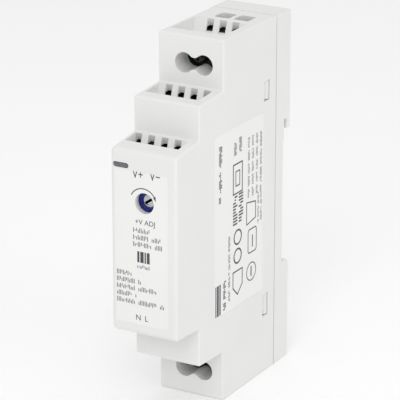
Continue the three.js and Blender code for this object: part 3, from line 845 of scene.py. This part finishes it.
def well_outline(screws):
    """The outline round two circles side by side: the half height at each place is the circle's, and between
    their centres no less than a cosine blend down to the neck."""
    (x0, z0), (x1, _) = screws
    middle, offset = (x0 + x1) / 2, (x1 - x0) / 2
    across = offset + WELL_RADIUS * np.cos(np.linspace(0, math.pi, 40))
    height = np.sqrt(np.maximum(WELL_RADIUS**2 - (across - offset) ** 2, 0))
    keep = across >= 0
    across, height = across[keep], height[keep]
    waist = across < offset
    blend = np.clip(across / offset, 0, 1)
    smooth = NECK + (WELL_RADIUS - NECK) * (0.5 - 0.5 * np.cos(math.pi * blend)) ** 1.15
    height = np.where(waist, np.maximum(height, smooth), height)
    right = np.stack([across, height], axis=1)
    left = right[::-1] * [-1, 1]
    upper = np.concatenate([right, left])
    lower = upper[::-1] * [1, -1]
    outline = np.concatenate([upper[:-1], lower[:-1]])
    keep = np.linalg.norm(outline - np.roll(outline, 1, axis=0), axis=1) > 1e-6
    outline = outline[keep] + [middle, z0]
    return outline[:, ::-1]


def well_cutter(screws):
    """The screw well as a cutter through the third block's front to the room inside."""
    return prism(well_outline(screws), THIRD_FRONT - 1, WELL_END + 1, "y")


def wire_entry_cutters(screws, z0, z1):
    """Square ways in for the wires, behind the screws."""
    outlines = [rectangle(x - ENTRY_HALF, x + ENTRY_HALF, ENTRY_FRONT, ENTRY_BACK, 0.4) for x, _ in screws]
    return [prism(outline, z0, z1, "z") for outline in outlines]


LATCHES = ((TOP - 19.9, TOP - 14.9), (BOTTOM + 14.8, BOTTOM + 20.6))
LATCH_FRONT, LATCH_BACK, LATCH_DEPTH = SHELL_REAR - 6, SHELL_REAR - 3.2, 2.2


def latch_cutters():
    """Windows in both sides for the snap arms."""
    cutters = []
    for z0, z1 in LATCHES:
        cutters.append(block(HALF - LATCH_DEPTH, HALF + 1, LATCH_FRONT, LATCH_BACK, z0, z1))
        cutters.append(block(-HALF - 1, LATCH_DEPTH - HALF, LATCH_FRONT, LATCH_BACK, z0, z1))
    return cutters


# the smooth fields that carry the print: their edges and their depth
SIDE_FIELD, SIDE_DEPTH = (FRONT + 17.5, FRONT + 41.4, -21.9, 23.6), 0.12
FRONT_FIELD, FRONT_DEPTH = (-18.7, 18.95, -7.75, 6.5), 0.1


def field_cutters():
    """The shallow smooth fields on the right side and on the front face."""
    return [
        prism(rectangle(*SIDE_FIELD, 0.6), HALF - SIDE_DEPTH, HALF + 1),
        prism(rectangle(*FRONT_FIELD, 0.4), FRONT - 1, FRONT + FRONT_DEPTH, "y"),
    ]


def light_outline(length, height, corner):
    """The pill outline of the light window and of its seat."""
    up, across = height / 2, length / 2
    return rectangle(LIGHT_Z - up, LIGHT_Z + up, LIGHT_X - across, LIGHT_X + across, corner)


def light_cutters():
    """The pill-shaped seat of the light window and the way in behind it."""
    return [
        prism(light_outline(4.16, 1.26, 0.6), FRONT - 1, FRONT + 0.85, "y"),
        block(LIGHT_X - 0.8, LIGHT_X + 1.6, FRONT + 0.8, FRONT + 2.1, LIGHT_Z - 0.95, LIGHT_Z - 0.05),
    ]


def side_fillets(outline, settings):
    """The side rounding at each point: full in the middle, larger towards the front face, almost none at the
    seam with the base."""
    y = outline[:, 0]
    front_share = np.clip((SECOND_FRONT - 1.5 - y) / 4, 0, 1)
    seam_share = np.clip((SHELL_REAR - y) / 1.2, 0.25, 1)
    return (settings.side_round + (settings.front_round - settings.side_round) * front_share) * seam_share


class SUPPLY_OT_housing(bpy.types.Operator):
    """Moulds the stepped shell: the outline is carried across the width with round side edges, and then its
    openings, the cavity and the print fields are cut from it"""

    bl_idname = "supply.housing"
    bl_label = "Housing shell"

    def execute(self, context):
        settings = context.scene.supply_housing
        outline = rounded(whole(shell_half), step=2.5)
        fillets = side_fillets(outline, settings)
        shell = make_object("housing_shell_moulding", prism(outline, -HALF, HALF, "x", fillets))
        shell.data.materials.append(material("white_moulding"))
        inner = HALF - settings.wall
        cavity = np.array([c[:2] for c in whole(lambda levels: cavity_half(levels, settings.wall))])
        cutters = [
            well_cutter(UPPER_SCREWS),
            well_cutter(LOWER_SCREWS),
            prism(circle(TRIM_Z, TRIM_X, TRIM_WELL), FRONT - 1, FRONT + 1.9, "y"),
        ]
        inside = [prism(cavity, -inner, inner)]
        for levels in (UPPER, LOWER):
            into = levels["into"]
            for vent, lip_level, level in vent_rows(levels):
                cutters += vent_cutters(vent, lip_level, level, into, settings)
                inside.append(pocket_cutter(vent, level, into, settings))
        cutters += wire_entry_cutters(UPPER_SCREWS, TOP - 2.6, TOP + 1)
        cutters += wire_entry_cutters(LOWER_SCREWS, BOTTOM - 1, BOTTOM + 2.6)
        cutters += latch_cutters() + light_cutters()
        carve(shell, cutters)
        # the faces cut by the cavity and the pockets take the near-black inside colour: painted shade in the
        # vents and wells
        carve(shell, inside, material("shell_inside_painted_shade"))
        carve(shell, field_cutters(), material("print_field"))
        soften(shell, 0.1, 2, math.radians(40))
        finish_piece(shell, "white_moulding", "root", "housing", "housing_shell")
        return {"FINISHED"}


# ---- rear base, clip and spring ---------------------------------------------------------------
class SUPPLY_OT_base(bpy.types.Operator):
    """Rounds the edges of the rear base and of the rail clip"""

    bl_idname = "supply.base"
    bl_label = "Rear base and rail clip"

    def execute(self, context):
        round_node("rear_base", "rear_base_moulding", "white_moulding", "root", "housing", 0.22, 3)
        round_node("rail_clip", "rail_clip_moulding", "clip_moulding", "rail_clip", "clip", 0.15)
        return {"FINISHED"}


class SUPPLY_OT_spring(bpy.types.Operator):
    """Winds the clip spring: a helix whose rise stops over the end turns, so that they lie flat"""

    bl_idname = "supply.spring"
    bl_label = "Clip spring"

    def execute(self, context):
        low, high = box_mm("clip_spring")
        wire, turns, flat, travel = 0.22, 7, 0.85, 3.0  # flat: the turns that lie flat at each end
        share = np.linspace(0, turns, turns * 36 + 1)
        climb = np.clip((share - flat) / (turns - 2 * flat), 0, 1)
        radius = (high[0] - low[0]) / 2 - wire
        centre = (low + high) / 2
        path = np.stack(
            [
                centre[0] + radius * np.cos(2 * math.pi * share),
                centre[1] + radius * np.sin(2 * math.pi * share),
                low[2] + wire + climb * (high[2] - low[2] - 2 * wire),
            ],
            axis=1,
        )
        spring = make_object("clip_spring_wire", tube(path, wire, 12))
        finish_piece(spring, "plated_steel", "root", "steel", "clip_spring")
        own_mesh(spring)
        return {"FINISHED"}


# ---- front fittings ---------------------------------------------------------------------------
class SUPPLY_OT_light(bpy.types.Operator):
    """Makes the pill-shaped light window with its stem, and the LED behind it"""

    bl_idname = "supply.light"
    bl_label = "Light window and LED"

    def execute(self, context):
        face = prism(light_outline(4.0, 1.1, 0.54), FRONT + 0.06, FRONT + 0.8, "y", 0.12)
        wide, tall = (LIGHT_X - 0.7, LIGHT_X + 1.5), (LIGHT_Z - 0.85, LIGHT_Z - 0.15)
        stem = slab(*wide, FRONT + 0.5, FRONT + 2.8, *tall, 0.12, 0.1)
        pipe = make_object("light_window_lens", merged(face, stem))
        finish_piece(pipe, "smoked_window", "root", "window", "light_pipe")
        low, high = box_mm("status_led")
        middle = (low + high) / 2
        dome = [(0, 0), (0.35, 0.06), (0.68, 0.3), (0.88, 0.7), (0.95, 1.2)]
        dome = [(radius, low[1] + back) for radius, back in dome]
        dome += [(0.95, high[1] - 1.3), (0, high[1] - 1.3)]
        lens = turned(dome, (middle[2], middle[0]), 32)
        case = slab(low[0], high[0], high[1] - 1.4, high[1], low[2], high[2], 0.2, 0.12, "y")
        led = make_object("status_led_lamp", merged(lens, case))
        finish_piece(led, "led_lens", "root", "led", "status_led")
        return {"FINISHED"}


class SUPPLY_OT_trimmer(bpy.types.Operator):
    """Makes the blue trimmer case with its stepped well, and the rotor with a tilted screwdriver slot"""

    bl_idname = "supply.trimmer"
    bl_label = "Trimmer"

    def execute(self, context):
        low, high = box_mm("trimmer_body")
        case = slab(low[0], high[0], low[1], high[1], low[2], high[2], 0.35, 0.2, "y")
        body = make_object("trimmer_case", case)
        radius = (ROTOR_HIGH[0] - ROTOR_LOW[0]) / 2
        front = ROTOR_LOW[1]
        collar = prism(circle(TRIM_Z, TRIM_X, TRIM_COLLAR), low[1] - 1, front + 0.1, "y")
        bore = prism(circle(TRIM_Z, TRIM_X, radius + 0.05), low[1] - 1, ROTOR_HIGH[1] + 0.1, "y")
        carve(body, [collar, bore])
        soften(body, 0.08, 2)
        finish_piece(body, "trimmer_blue", "root", "trimmer_blue", "trimmer_body")
        profile = [(0, front), (radius - 0.3, front), (radius - 0.09, front + 0.07), (radius, front + 0.25)]
        profile += [(radius, ROTOR_HIGH[1]), (0, ROTOR_HIGH[1])]
        rotor = make_object("trimmer_rotor_disc", turned(profile, (TRIM_Z, TRIM_X), 64))
        tilt = math.radians(34)
        along = np.array([math.sin(tilt), math.cos(tilt)])
        across = np.array([math.cos(tilt), -math.sin(tilt)])
        corners = [a * 1.25 * along + b * 0.27 * across for a, b in ((-1, -1), (1, -1), (1, 1), (-1, 1))]
        slot = prism(np.array(corners) + [TRIM_Z, TRIM_X], front - 1, front + 0.8, "y")
        carve(rotor, [slot])
        soften(rotor, 0.06, 2)
        finish_piece(rotor, "trimmer_rotor", "trimmer_rotor", "trimmer_rotor", "trimmer_rotor")
        return {"FINISHED"}


# ---- terminals --------------------------------------------------------------------------------
class SUPPLY_OT_terminals(bpy.types.Operator):
    """Makes the terminal blocks, their screws, clamp cages and contact tongues"""

    bl_idname = "supply.terminals"
    bl_label = "Terminals"

    def execute(self, context):
        for side in ("output", "input"):
            node, name = side + "_terminal_body", side + "_terminal_block"
            round_node(node, name, "terminal_moulding_painted_shade", "root", "terminal", 0.12)
        for name in POLES:
            self.screw(name)
            clamp, contact = "clamp_" + name, "contact_" + name
            round_node(clamp, "clamp_cage_" + name, "plated_steel", clamp, "steel", 0.12)
            round_node(contact, "contact_tongue_" + name, "brass_strip", "root", "brass", 0.1)
        return {"FINISHED"}

    def screw(self, name):
        """A pan head with a cross recess over a threaded shank: along the shank the radius follows a rounded
        saw-tooth with the thread's pitch."""
        low, high = box_mm("screw_" + name)
        x, z = SCREW_AXIS[name]
        head_radius = (high[0] - low[0]) / 2
        head_back = low[1] + 1.65
        root, crest, pitch = 1.0, 1.25, 0.45
        dome = np.linspace(0, math.pi / 2, 7)
        head = [(0, low[1])]
        head += [(head_radius - 0.45 * (1 - math.sin(a)), low[1] + 0.5 * (1 - math.cos(a))) for a in dome]
        head += [(head_radius, head_back - 0.1), (head_radius - 0.1, head_back), (root, head_back)]
        places = np.arange(head_back + 0.1, high[1] - 0.3, pitch / 8)
        wave = np.abs(((places / pitch) % 1) * 2 - 1)
        shank = [(root + (crest - root) * w, p) for w, p in zip(wave, places)]
        tip = [(root * 0.85, high[1]), (0, high[1])]
        made = make_object("terminal_screw_" + name, turned(head + shank + tip, (z, x), 40))
        slot = block(x - 2.5, x + 2.5, low[1] - 1, low[1] + 0.8, z - 0.3, z + 0.3)
        cross = block(x - 0.3, x + 0.3, low[1] - 1, low[1] + 0.8, z - 1.2, z + 1.2)
        carve(made, [slot, cross])
        soften(made, 0.05, 2, math.radians(60))
        finish_piece(made, "screw_steel_painted_shade", "screw_" + name, "steel", "screw_" + name)


# ---- board and electronic parts ---------------------------------------------------------------
# the parts on the board: look, slot and name of each
PARTS = {
    "input_fuse": ("black_moulding", "black_plastic", "fuse_case"),
    "inrush_thermistor": ("black_moulding", "black_plastic", "thermistor_disc"),
    "surge_varistor": ("dipped_lacquer", "disc", "varistor_disc"),
    "safety_capacitor": ("dipped_lacquer", "disc", "safety_capacitor_disc"),
    "line_filter_capacitor": ("yellow_box", "film", "filter_capacitor_box"),
    "choke_core": ("sintered_ferrite", "ferrite", "choke_ring"),
    "choke_winding_left": ("enamelled_copper", "copper", "choke_turns_left"),
    "choke_winding_right": ("enamelled_copper", "copper", "choke_turns_right"),
    "bridge_rectifier": ("black_moulding", "black_plastic", "bridge_case"),
    "bulk_capacitor": ("shrink_sleeve", "sleeve", "bulk_capacitor_can"),
    "transformer_core": ("sintered_ferrite", "ferrite", "transformer_ferrite"),
    "transformer_bobbin": ("black_moulding", "black_plastic", "transformer_former"),
    "transformer_winding": ("yellow_tape", "tape", "transformer_coil"),
    "switching_controller": ("black_moulding", "black_plastic", "controller_case"),
    "optocoupler": ("black_moulding", "black_plastic", "optocoupler_case"),
    "output_rectifier": ("black_moulding", "black_plastic", "rectifier_case"),
    "output_capacitor_1": ("shrink_sleeve", "sleeve", "output_can_1"),
    "output_capacitor_2": ("shrink_sleeve", "sleeve", "output_can_2"),
    "output_inductor": ("sintered_ferrite", "ferrite", "inductor_drum"),
}


class SUPPLY_OT_board(bpy.types.Operator):
    """Rounds the edges of the circuit board, its insulation sheet and its parts"""

    bl_idname = "supply.board"
    bl_label = "Board and electronic parts"

    def execute(self, context):
        round_node("main_board", "main_board_laminate", "solder_resist", "root", "board", 0.08)
        round_node("insulation_sheet", "insulation_film", "milky_sheet", "root", "sheet", 0.08)
        for node, (look, slot, name) in PARTS.items():
            round_node(node, name, look, "root", slot, 0.25, 3)
        return {"FINISHED"}


# ---- print ------------------------------------------------------------------------------------
def ink_plate(outline, thickness, place):
    """A thin closed plate of ink from a flat outline, put in place by a function from (across, up, out)."""
    if area_of(outline) < 0:
        outline = outline[::-1]
    count = len(outline)
    low = np.column_stack([outline, np.zeros(count)])
    high = np.column_stack([outline, np.full(count, thickness)])
    points, faces = closed_rings(np.stack([low, high]))
    return place(points), faces


def strokes(boxes, thickness, place):
    """Many small plates of ink at once, from rows of (low across, high across, low up, high up): each row's
    four corners are taken at the surface and at the ink's thickness."""
    boxes = np.asarray(boxes, float)
    across, up = boxes[:, [0, 1, 1, 0]], boxes[:, [2, 2, 3, 3]]
    low = np.stack([across, up, np.zeros_like(up)], axis=-1)
    points = np.concatenate([low, low + [0, 0, thickness]], axis=1)
    sides = [[3, 2, 1, 0], [4, 5, 6, 7], [0, 1, 5, 4], [1, 2, 6, 5], [2, 3, 7, 6], [3, 0, 4, 7]]
    faces = np.array(sides)[None] + 8 * np.arange(len(boxes))[:, None, None]
    return place(points.reshape(-1, 3)), faces.reshape(-1, 4).tolist()


def small_text(across, up, height, length, seed, weight=0.15):
    """Boxes with the rhythm of a line of small text but no characters: upright strokes at an even pitch, some
    cut short above or below, with a gap after every few pairs."""
    chance = np.random.default_rng(seed)
    pitch = 0.36 * height
    count = int(length / pitch)
    place = np.arange(count)
    word = chance.integers(5, 8)
    place = place[(place // 2) % word != word - 1]
    left = across + place * pitch
    low = up - height / 2 + height * 0.35 * (chance.random(len(place)) < 0.2)
    high = up + height / 2 - height * 0.35 * (chance.random(len(place)) < 0.35)
    return np.column_stack([left, left + weight * height, low, high])


def frame_line(outline, line, thickness, place):
    """A closed line of ink: a flat section, as wide as the line, is carried round inside the outline, with
    mitred corners."""
    if area_of(outline) < 0:
        outline = outline[::-1]
    inner = outline + line * inward(outline)
    section = [
        np.column_stack([edge, np.full(len(edge), out)])
        for edge, out in ((outline, 0), (outline, thickness), (inner, thickness), (inner, 0))
    ]
    points = np.stack(section, axis=1)
    index = np.arange(4 * len(outline)).reshape(-1, 4)
    ahead = np.roll(index, -1, axis=0)
    quads = np.stack([index, ahead, np.roll(ahead, -1, axis=1), np.roll(index, -1, axis=1)], axis=-1)
    return place(points.reshape(-1, 3)), quads.reshape(-1, 4).tolist()


def lettering(text, size, place, centre, thickness, tall=1.0):
    """Characters as a thin closed mesh, centred on a point in the plane of the print."""
    curve = bpy.data.curves.new("lettering", "FONT")
    curve.body = text
    curve.size = size
    curve.align_x = "CENTER"
    curve.align_y = "CENTER"
    curve.extrude = thickness / 2
    curve.resolution_u = 6
    holder = bpy.data.objects.new("lettering", curve)
    bpy.context.scene.collection.objects.link(holder)
    bpy.context.view_layer.update()
    mesh = evaluated_copy(holder)
    points = np.empty(len(mesh.vertices) * 3)
    mesh.vertices.foreach_get("co", points)
    points = points.reshape(-1, 3) * [1, tall, 1] + [centre[0], centre[1], thickness / 2]
    faces = [list(p.vertices) for p in mesh.polygons]
    bpy.data.objects.remove(holder)
    return place(points), faces


def on_front(points):
    """From (across, up, out) to the front field's surface."""
    surface = FRONT + FRONT_DEPTH
    return np.column_stack([points[:, 0], surface - points[:, 2], points[:, 1]])


def on_side(points):
    """From (across, up, out) to the right side's print field: across runs towards the rail."""
    surface = HALF - SIDE_DEPTH
    return np.column_stack([surface + points[:, 2], points[:, 0], points[:, 1]])


def down_side(points):
    """From (along the text, up from it, out) to the right side, where the text runs downwards."""
    return on_side(np.column_stack([points[:, 1], -points[:, 0], points[:, 2]]))


def arc_band(centre, radius, width, start, end, parts=24):
    """A band between two arcs, from one angle to another."""
    angle = np.linspace(start, end, parts)
    outer = np.stack([np.cos(angle), np.sin(angle)], axis=1) * (radius + width / 2)
    inner = np.stack([np.cos(angle), np.sin(angle)], axis=1) * (radius - width / 2)
    return np.concatenate([outer, inner[::-1]]) + centre


class SUPPLY_OT_front_print(bpy.types.Operator):
    """Prints the front: polarity marks, the adjustment arc, and strokes for the small text"""

    bl_idname = "supply.front_print"
    bl_label = "Front print"

    def execute(self, context):
        ink = context.scene.supply_print.relief
        plates = [
            lettering("V+", 2.45, on_front, (-1.5, 18.2), ink, 1.25),
            lettering("V−", 2.45, on_front, (3.1, 18.3), ink, 1.25),
            lettering("+V ADJ", 1.75, on_front, (0.35, 6.8), ink),
            lettering("N", 1.9, on_front, (-1.65, -16.9), ink),
            lettering("L", 1.9, on_front, (0.5, -16.9), ink),
        ]
        centre = np.array([TRIM_X - 0.3, TRIM_Z])
        turn = np.radians([34, 34, 15])
        radius = np.array([3.92, 3.18, 3.5])
        head = centre + radius[:, None] * np.column_stack([np.cos(turn), np.sin(turn)])
        plates.append(ink_plate(head, ink, on_front))
        arc = arc_band(centre, 3.55, 0.24, math.radians(33.5), math.radians(153))
        plates.append(ink_plate(arc, ink, on_front))
        rows = [
            (-2.85, 4.7, 4.8),
            (-2.85, 3.0, 7.6),
            (-2.85, 1.3, 8.0),
            (-7.35, -6.3, 4.2),
            (-7.35, -8.0, 7.0),
            (-7.35, -9.7, 11.6),
            (-7.35, -11.4, 5.4),
            (-7.35, -13.1, 13.1),
        ]
        boxes = [small_text(x, z, 1.15, length, seed) for seed, (x, z, length) in enumerate(rows)]
        boxes.append([(x, x + width, -3.1, -0.4) for x, width in ((-1.8, 0.55), (-1.0, 0.9), (0.15, 0.35))])
        boxes.append([(0.75, 1.5, -3.1, -0.4)])
        boxes.append(small_text(-1.8, -4.1, 0.95, 3.5, 20))
        plates.append(strokes(np.concatenate(boxes), ink, on_front))
        made = make_object("front_print_ink", merged(*plates))
        finish_piece(made, "marking_ink", "root", "window")
        return {"FINISHED"}


class SUPPLY_OT_side_print(bpy.types.Operator):
    """Prints the right side: text strokes that run downwards, frames, rings and other plain shapes"""

    bl_idname = "supply.side_print"
    bl_label = "Side print"

    def execute(self, context):
        ink = context.scene.supply_print.relief
        # height on the side where each line starts, its place across, its height, length and weight
        lines = [
            (20.7, -31.3, 1.45, 14.3, 0.24),
            (19.7, -24.2, 1.3, 3.7, 0.2),
            (20.5, -21.8, 1.3, 4.2, 0.2),
            (6.4, -24.2, 2.1, 8.0, 0.2),
            (6.6, -21.4, 2.1, 8.2, 0.2),
            (-2.9, -27.0, 0.9, 16.6, 0.17),
            (-13.4, -29.2, 1.3, 7.6, 0.24),
        ]
        lines += [(19.2, y, 0.9, 15.3, 0.17) for y in (-17.6, -15.6, -13.6, -11.6)]
        lines += [(4.0, y, 0.8, 8.2, 0.15) for y in (-12.8, -11.4)]
        boxes = [
            small_text(-z, y, high, long, 40 + i, weight)
            for i, (z, y, high, long, weight) in enumerate(lines)
        ]
        boxes.append([(13.6, 21.4, y, y + width) for y, width in ((-33.6, 0.4), (-32.9, 0.9), (-31.7, 0.6))])
        boxes.append([(5.9, 9.0, -15.8, -15.4), (13.9, 16.4, -16.4, -15.9)])
        plates = [strokes(np.concatenate(boxes), ink, down_side)]
        keystone = ((-18.7, 3.2), (-14.0, 2.4), (-14.0, -2.0), (-18.7, -2.8))
        pentagon = ((-25.3, -12.6), (-20.4, -12.6), (-20.4, -16.8), (-22.9, -19.1), (-25.3, -16.8))
        frames = [
            (rectangle(-25.35, -20.65, 6.8, 14.5, 0.1), 0.36),
            (rectangle(-24.1, -21.9, 8.7, 12.6, 0.1), 0.3),
            (rectangle(-17.9, -13.5, -10.4, -4.1, 0.9), 0.3),
            (circle(-22.9, -4.2, 2.0, 40), 0.45),
            (circle(-22.9, -9.0, 2.0, 40), 0.45),
            (circle(-16.1, -15.2, 2.4, 40), 0.28),
            (rounded([(*corner, 0.2) for corner in keystone]), 0.3),
            (rounded([(*corner, 0.1) for corner in pentagon]), 0.34),
        ]
        plates += [frame_line(outline, line, ink, on_side) for outline, line in frames]
        made = make_object("side_print_ink", merged(*plates))
        finish_piece(made, "marking_ink", "root", "window")
        return {"FINISHED"}


# ---- stage ------------------------------------------------------------------------------------
# each soft box: its name, its place from the object's centre in metres and its power in watts
SOFT_BOXES = (
    ("key_light", (0.3, -0.75, 0.65), 2.4),
    ("side_light", (0.9, -0.25, 0.35), 0.9),
    ("top_light", (0, 0.1, 0.8), 0.6),
)
SOFT_BOX_SIZE = 0.5
CAMERA_TARGET = (0.51, -26.8, 4.88)
SKY = 0.74


def soft_box(name, place, target, power):
    """A large square light turned towards a target."""
    data = bpy.data.lights.new(name, "AREA")
    data.shape = "RECTANGLE"
    data.size = data.size_y = SOFT_BOX_SIZE
    data.energy = power
    lamp = bpy.data.objects.new(name, data)
    lamp.location = place
    lamp.rotation_mode = "QUATERNION"
    lamp.rotation_quaternion = (Vector(target) - Vector(place)).to_track_quat("-Z", "Y")
    bpy.context.scene.collection.objects.link(lamp)


class SUPPLY_OT_stage(bpy.types.Operator):
    """Sets the floor, the soft light and the camera"""

    bl_idname = "supply.stage"
    bl_label = "Stage"

    def execute(self, context):
        settings = context.scene.supply_stage
        floor_level = CAD_LOW[2]
        size = 6.0
        mesh = bpy.data.meshes.new("floor")
        corners = [(-size, -size), (size, -size), (size, size), (-size, size)]
        mesh.from_pydata([(x, y, floor_level) for x, y in corners], [], [(0, 1, 2, 3)])
        floor = bpy.data.objects.new("floor", mesh)
        floor.data.materials.append(material("pale_floor"))
        context.scene.collection.objects.link(floor)

        world = bpy.data.worlds.new("studio") if context.scene.world is None else context.scene.world
        context.scene.world = world
        world.use_nodes = True
        background = world.node_tree.nodes["Background"]
        background.inputs["Color"].default_value = (1, 1, 1, 1)
        background.inputs["Strength"].default_value = SKY * settings.light

        centre = (CAD_LOW + CAD_HIGH) / 2
        for name, offset, power in SOFT_BOXES:
            soft_box(name, centre + Vector(offset), centre, power * settings.light)

        target = Vector(CAMERA_TARGET) * MM
        a, e = settings.azimuth, settings.elevation
        back = Vector((math.sin(a) * math.cos(e), -math.cos(a) * math.cos(e), math.sin(e)))
        data = bpy.data.cameras.new("camera")
        data.sensor_width = 36
        data.lens = settings.lens
        data.clip_start, data.clip_end = 0.01, 20
        camera = bpy.data.objects.new("camera", data)
        camera.location = target + back * settings.distance
        camera.rotation_mode = "QUATERNION"
        camera.rotation_quaternion = (-back).to_track_quat("-Z", "Y")
        context.scene.collection.objects.link(camera)
        context.scene.camera = camera
        context.scene.view_settings.view_transform = "Standard"
        return {"FINISHED"}


# ---- panel and registration -------------------------------------------------------------------
STEPS = (
    SUPPLY_OT_stage,
    SUPPLY_OT_housing,
    SUPPLY_OT_base,
    SUPPLY_OT_spring,
    SUPPLY_OT_light,
    SUPPLY_OT_trimmer,
    SUPPLY_OT_terminals,
    SUPPLY_OT_board,
    SUPPLY_OT_front_print,
    SUPPLY_OT_side_print,
)


class SUPPLY_PT_panel(bpy.types.Panel):
    """Lists the building steps and their settings."""

    bl_idname = "SUPPLY_PT_panel"
    bl_label = "Rail power supply"
    bl_space_type = "VIEW_3D"
    bl_region_type = "UI"
    bl_category = "Supply"

    def draw(self, context):
        for group in ("supply_housing", "supply_print", "supply_stage"):
            settings = getattr(context.scene, group)
            column = self.layout.column(align=True)
            for name in settings.__annotations__:
                column.prop(settings, name)
        for step in STEPS:
            self.layout.operator(step.bl_idname)


SETTINGS = {
    "supply_housing": SupplyHousingSettings,
    "supply_print": SupplyPrintSettings,
    "supply_stage": SupplyStageSettings,
}


def register():
    for name, group in SETTINGS.items():
        bpy.utils.register_class(group)
        setattr(bpy.types.Scene, name, bpy.props.PointerProperty(type=group))
    for step in STEPS:
        bpy.utils.register_class(step)
    bpy.utils.register_class(SUPPLY_PT_panel)


def unregister():
    bpy.utils.unregister_class(SUPPLY_PT_panel)
    for step in reversed(STEPS):
        bpy.utils.unregister_class(step)
    for name, group in SETTINGS.items():
        delattr(bpy.types.Scene, name)
        bpy.utils.unregister_class(group)


def main():
    register()
    for step in STEPS:
        group, name = step.bl_idname.split(".")
        getattr(getattr(bpy.ops, group), name)()


if __name__ == "__main__":
    main()
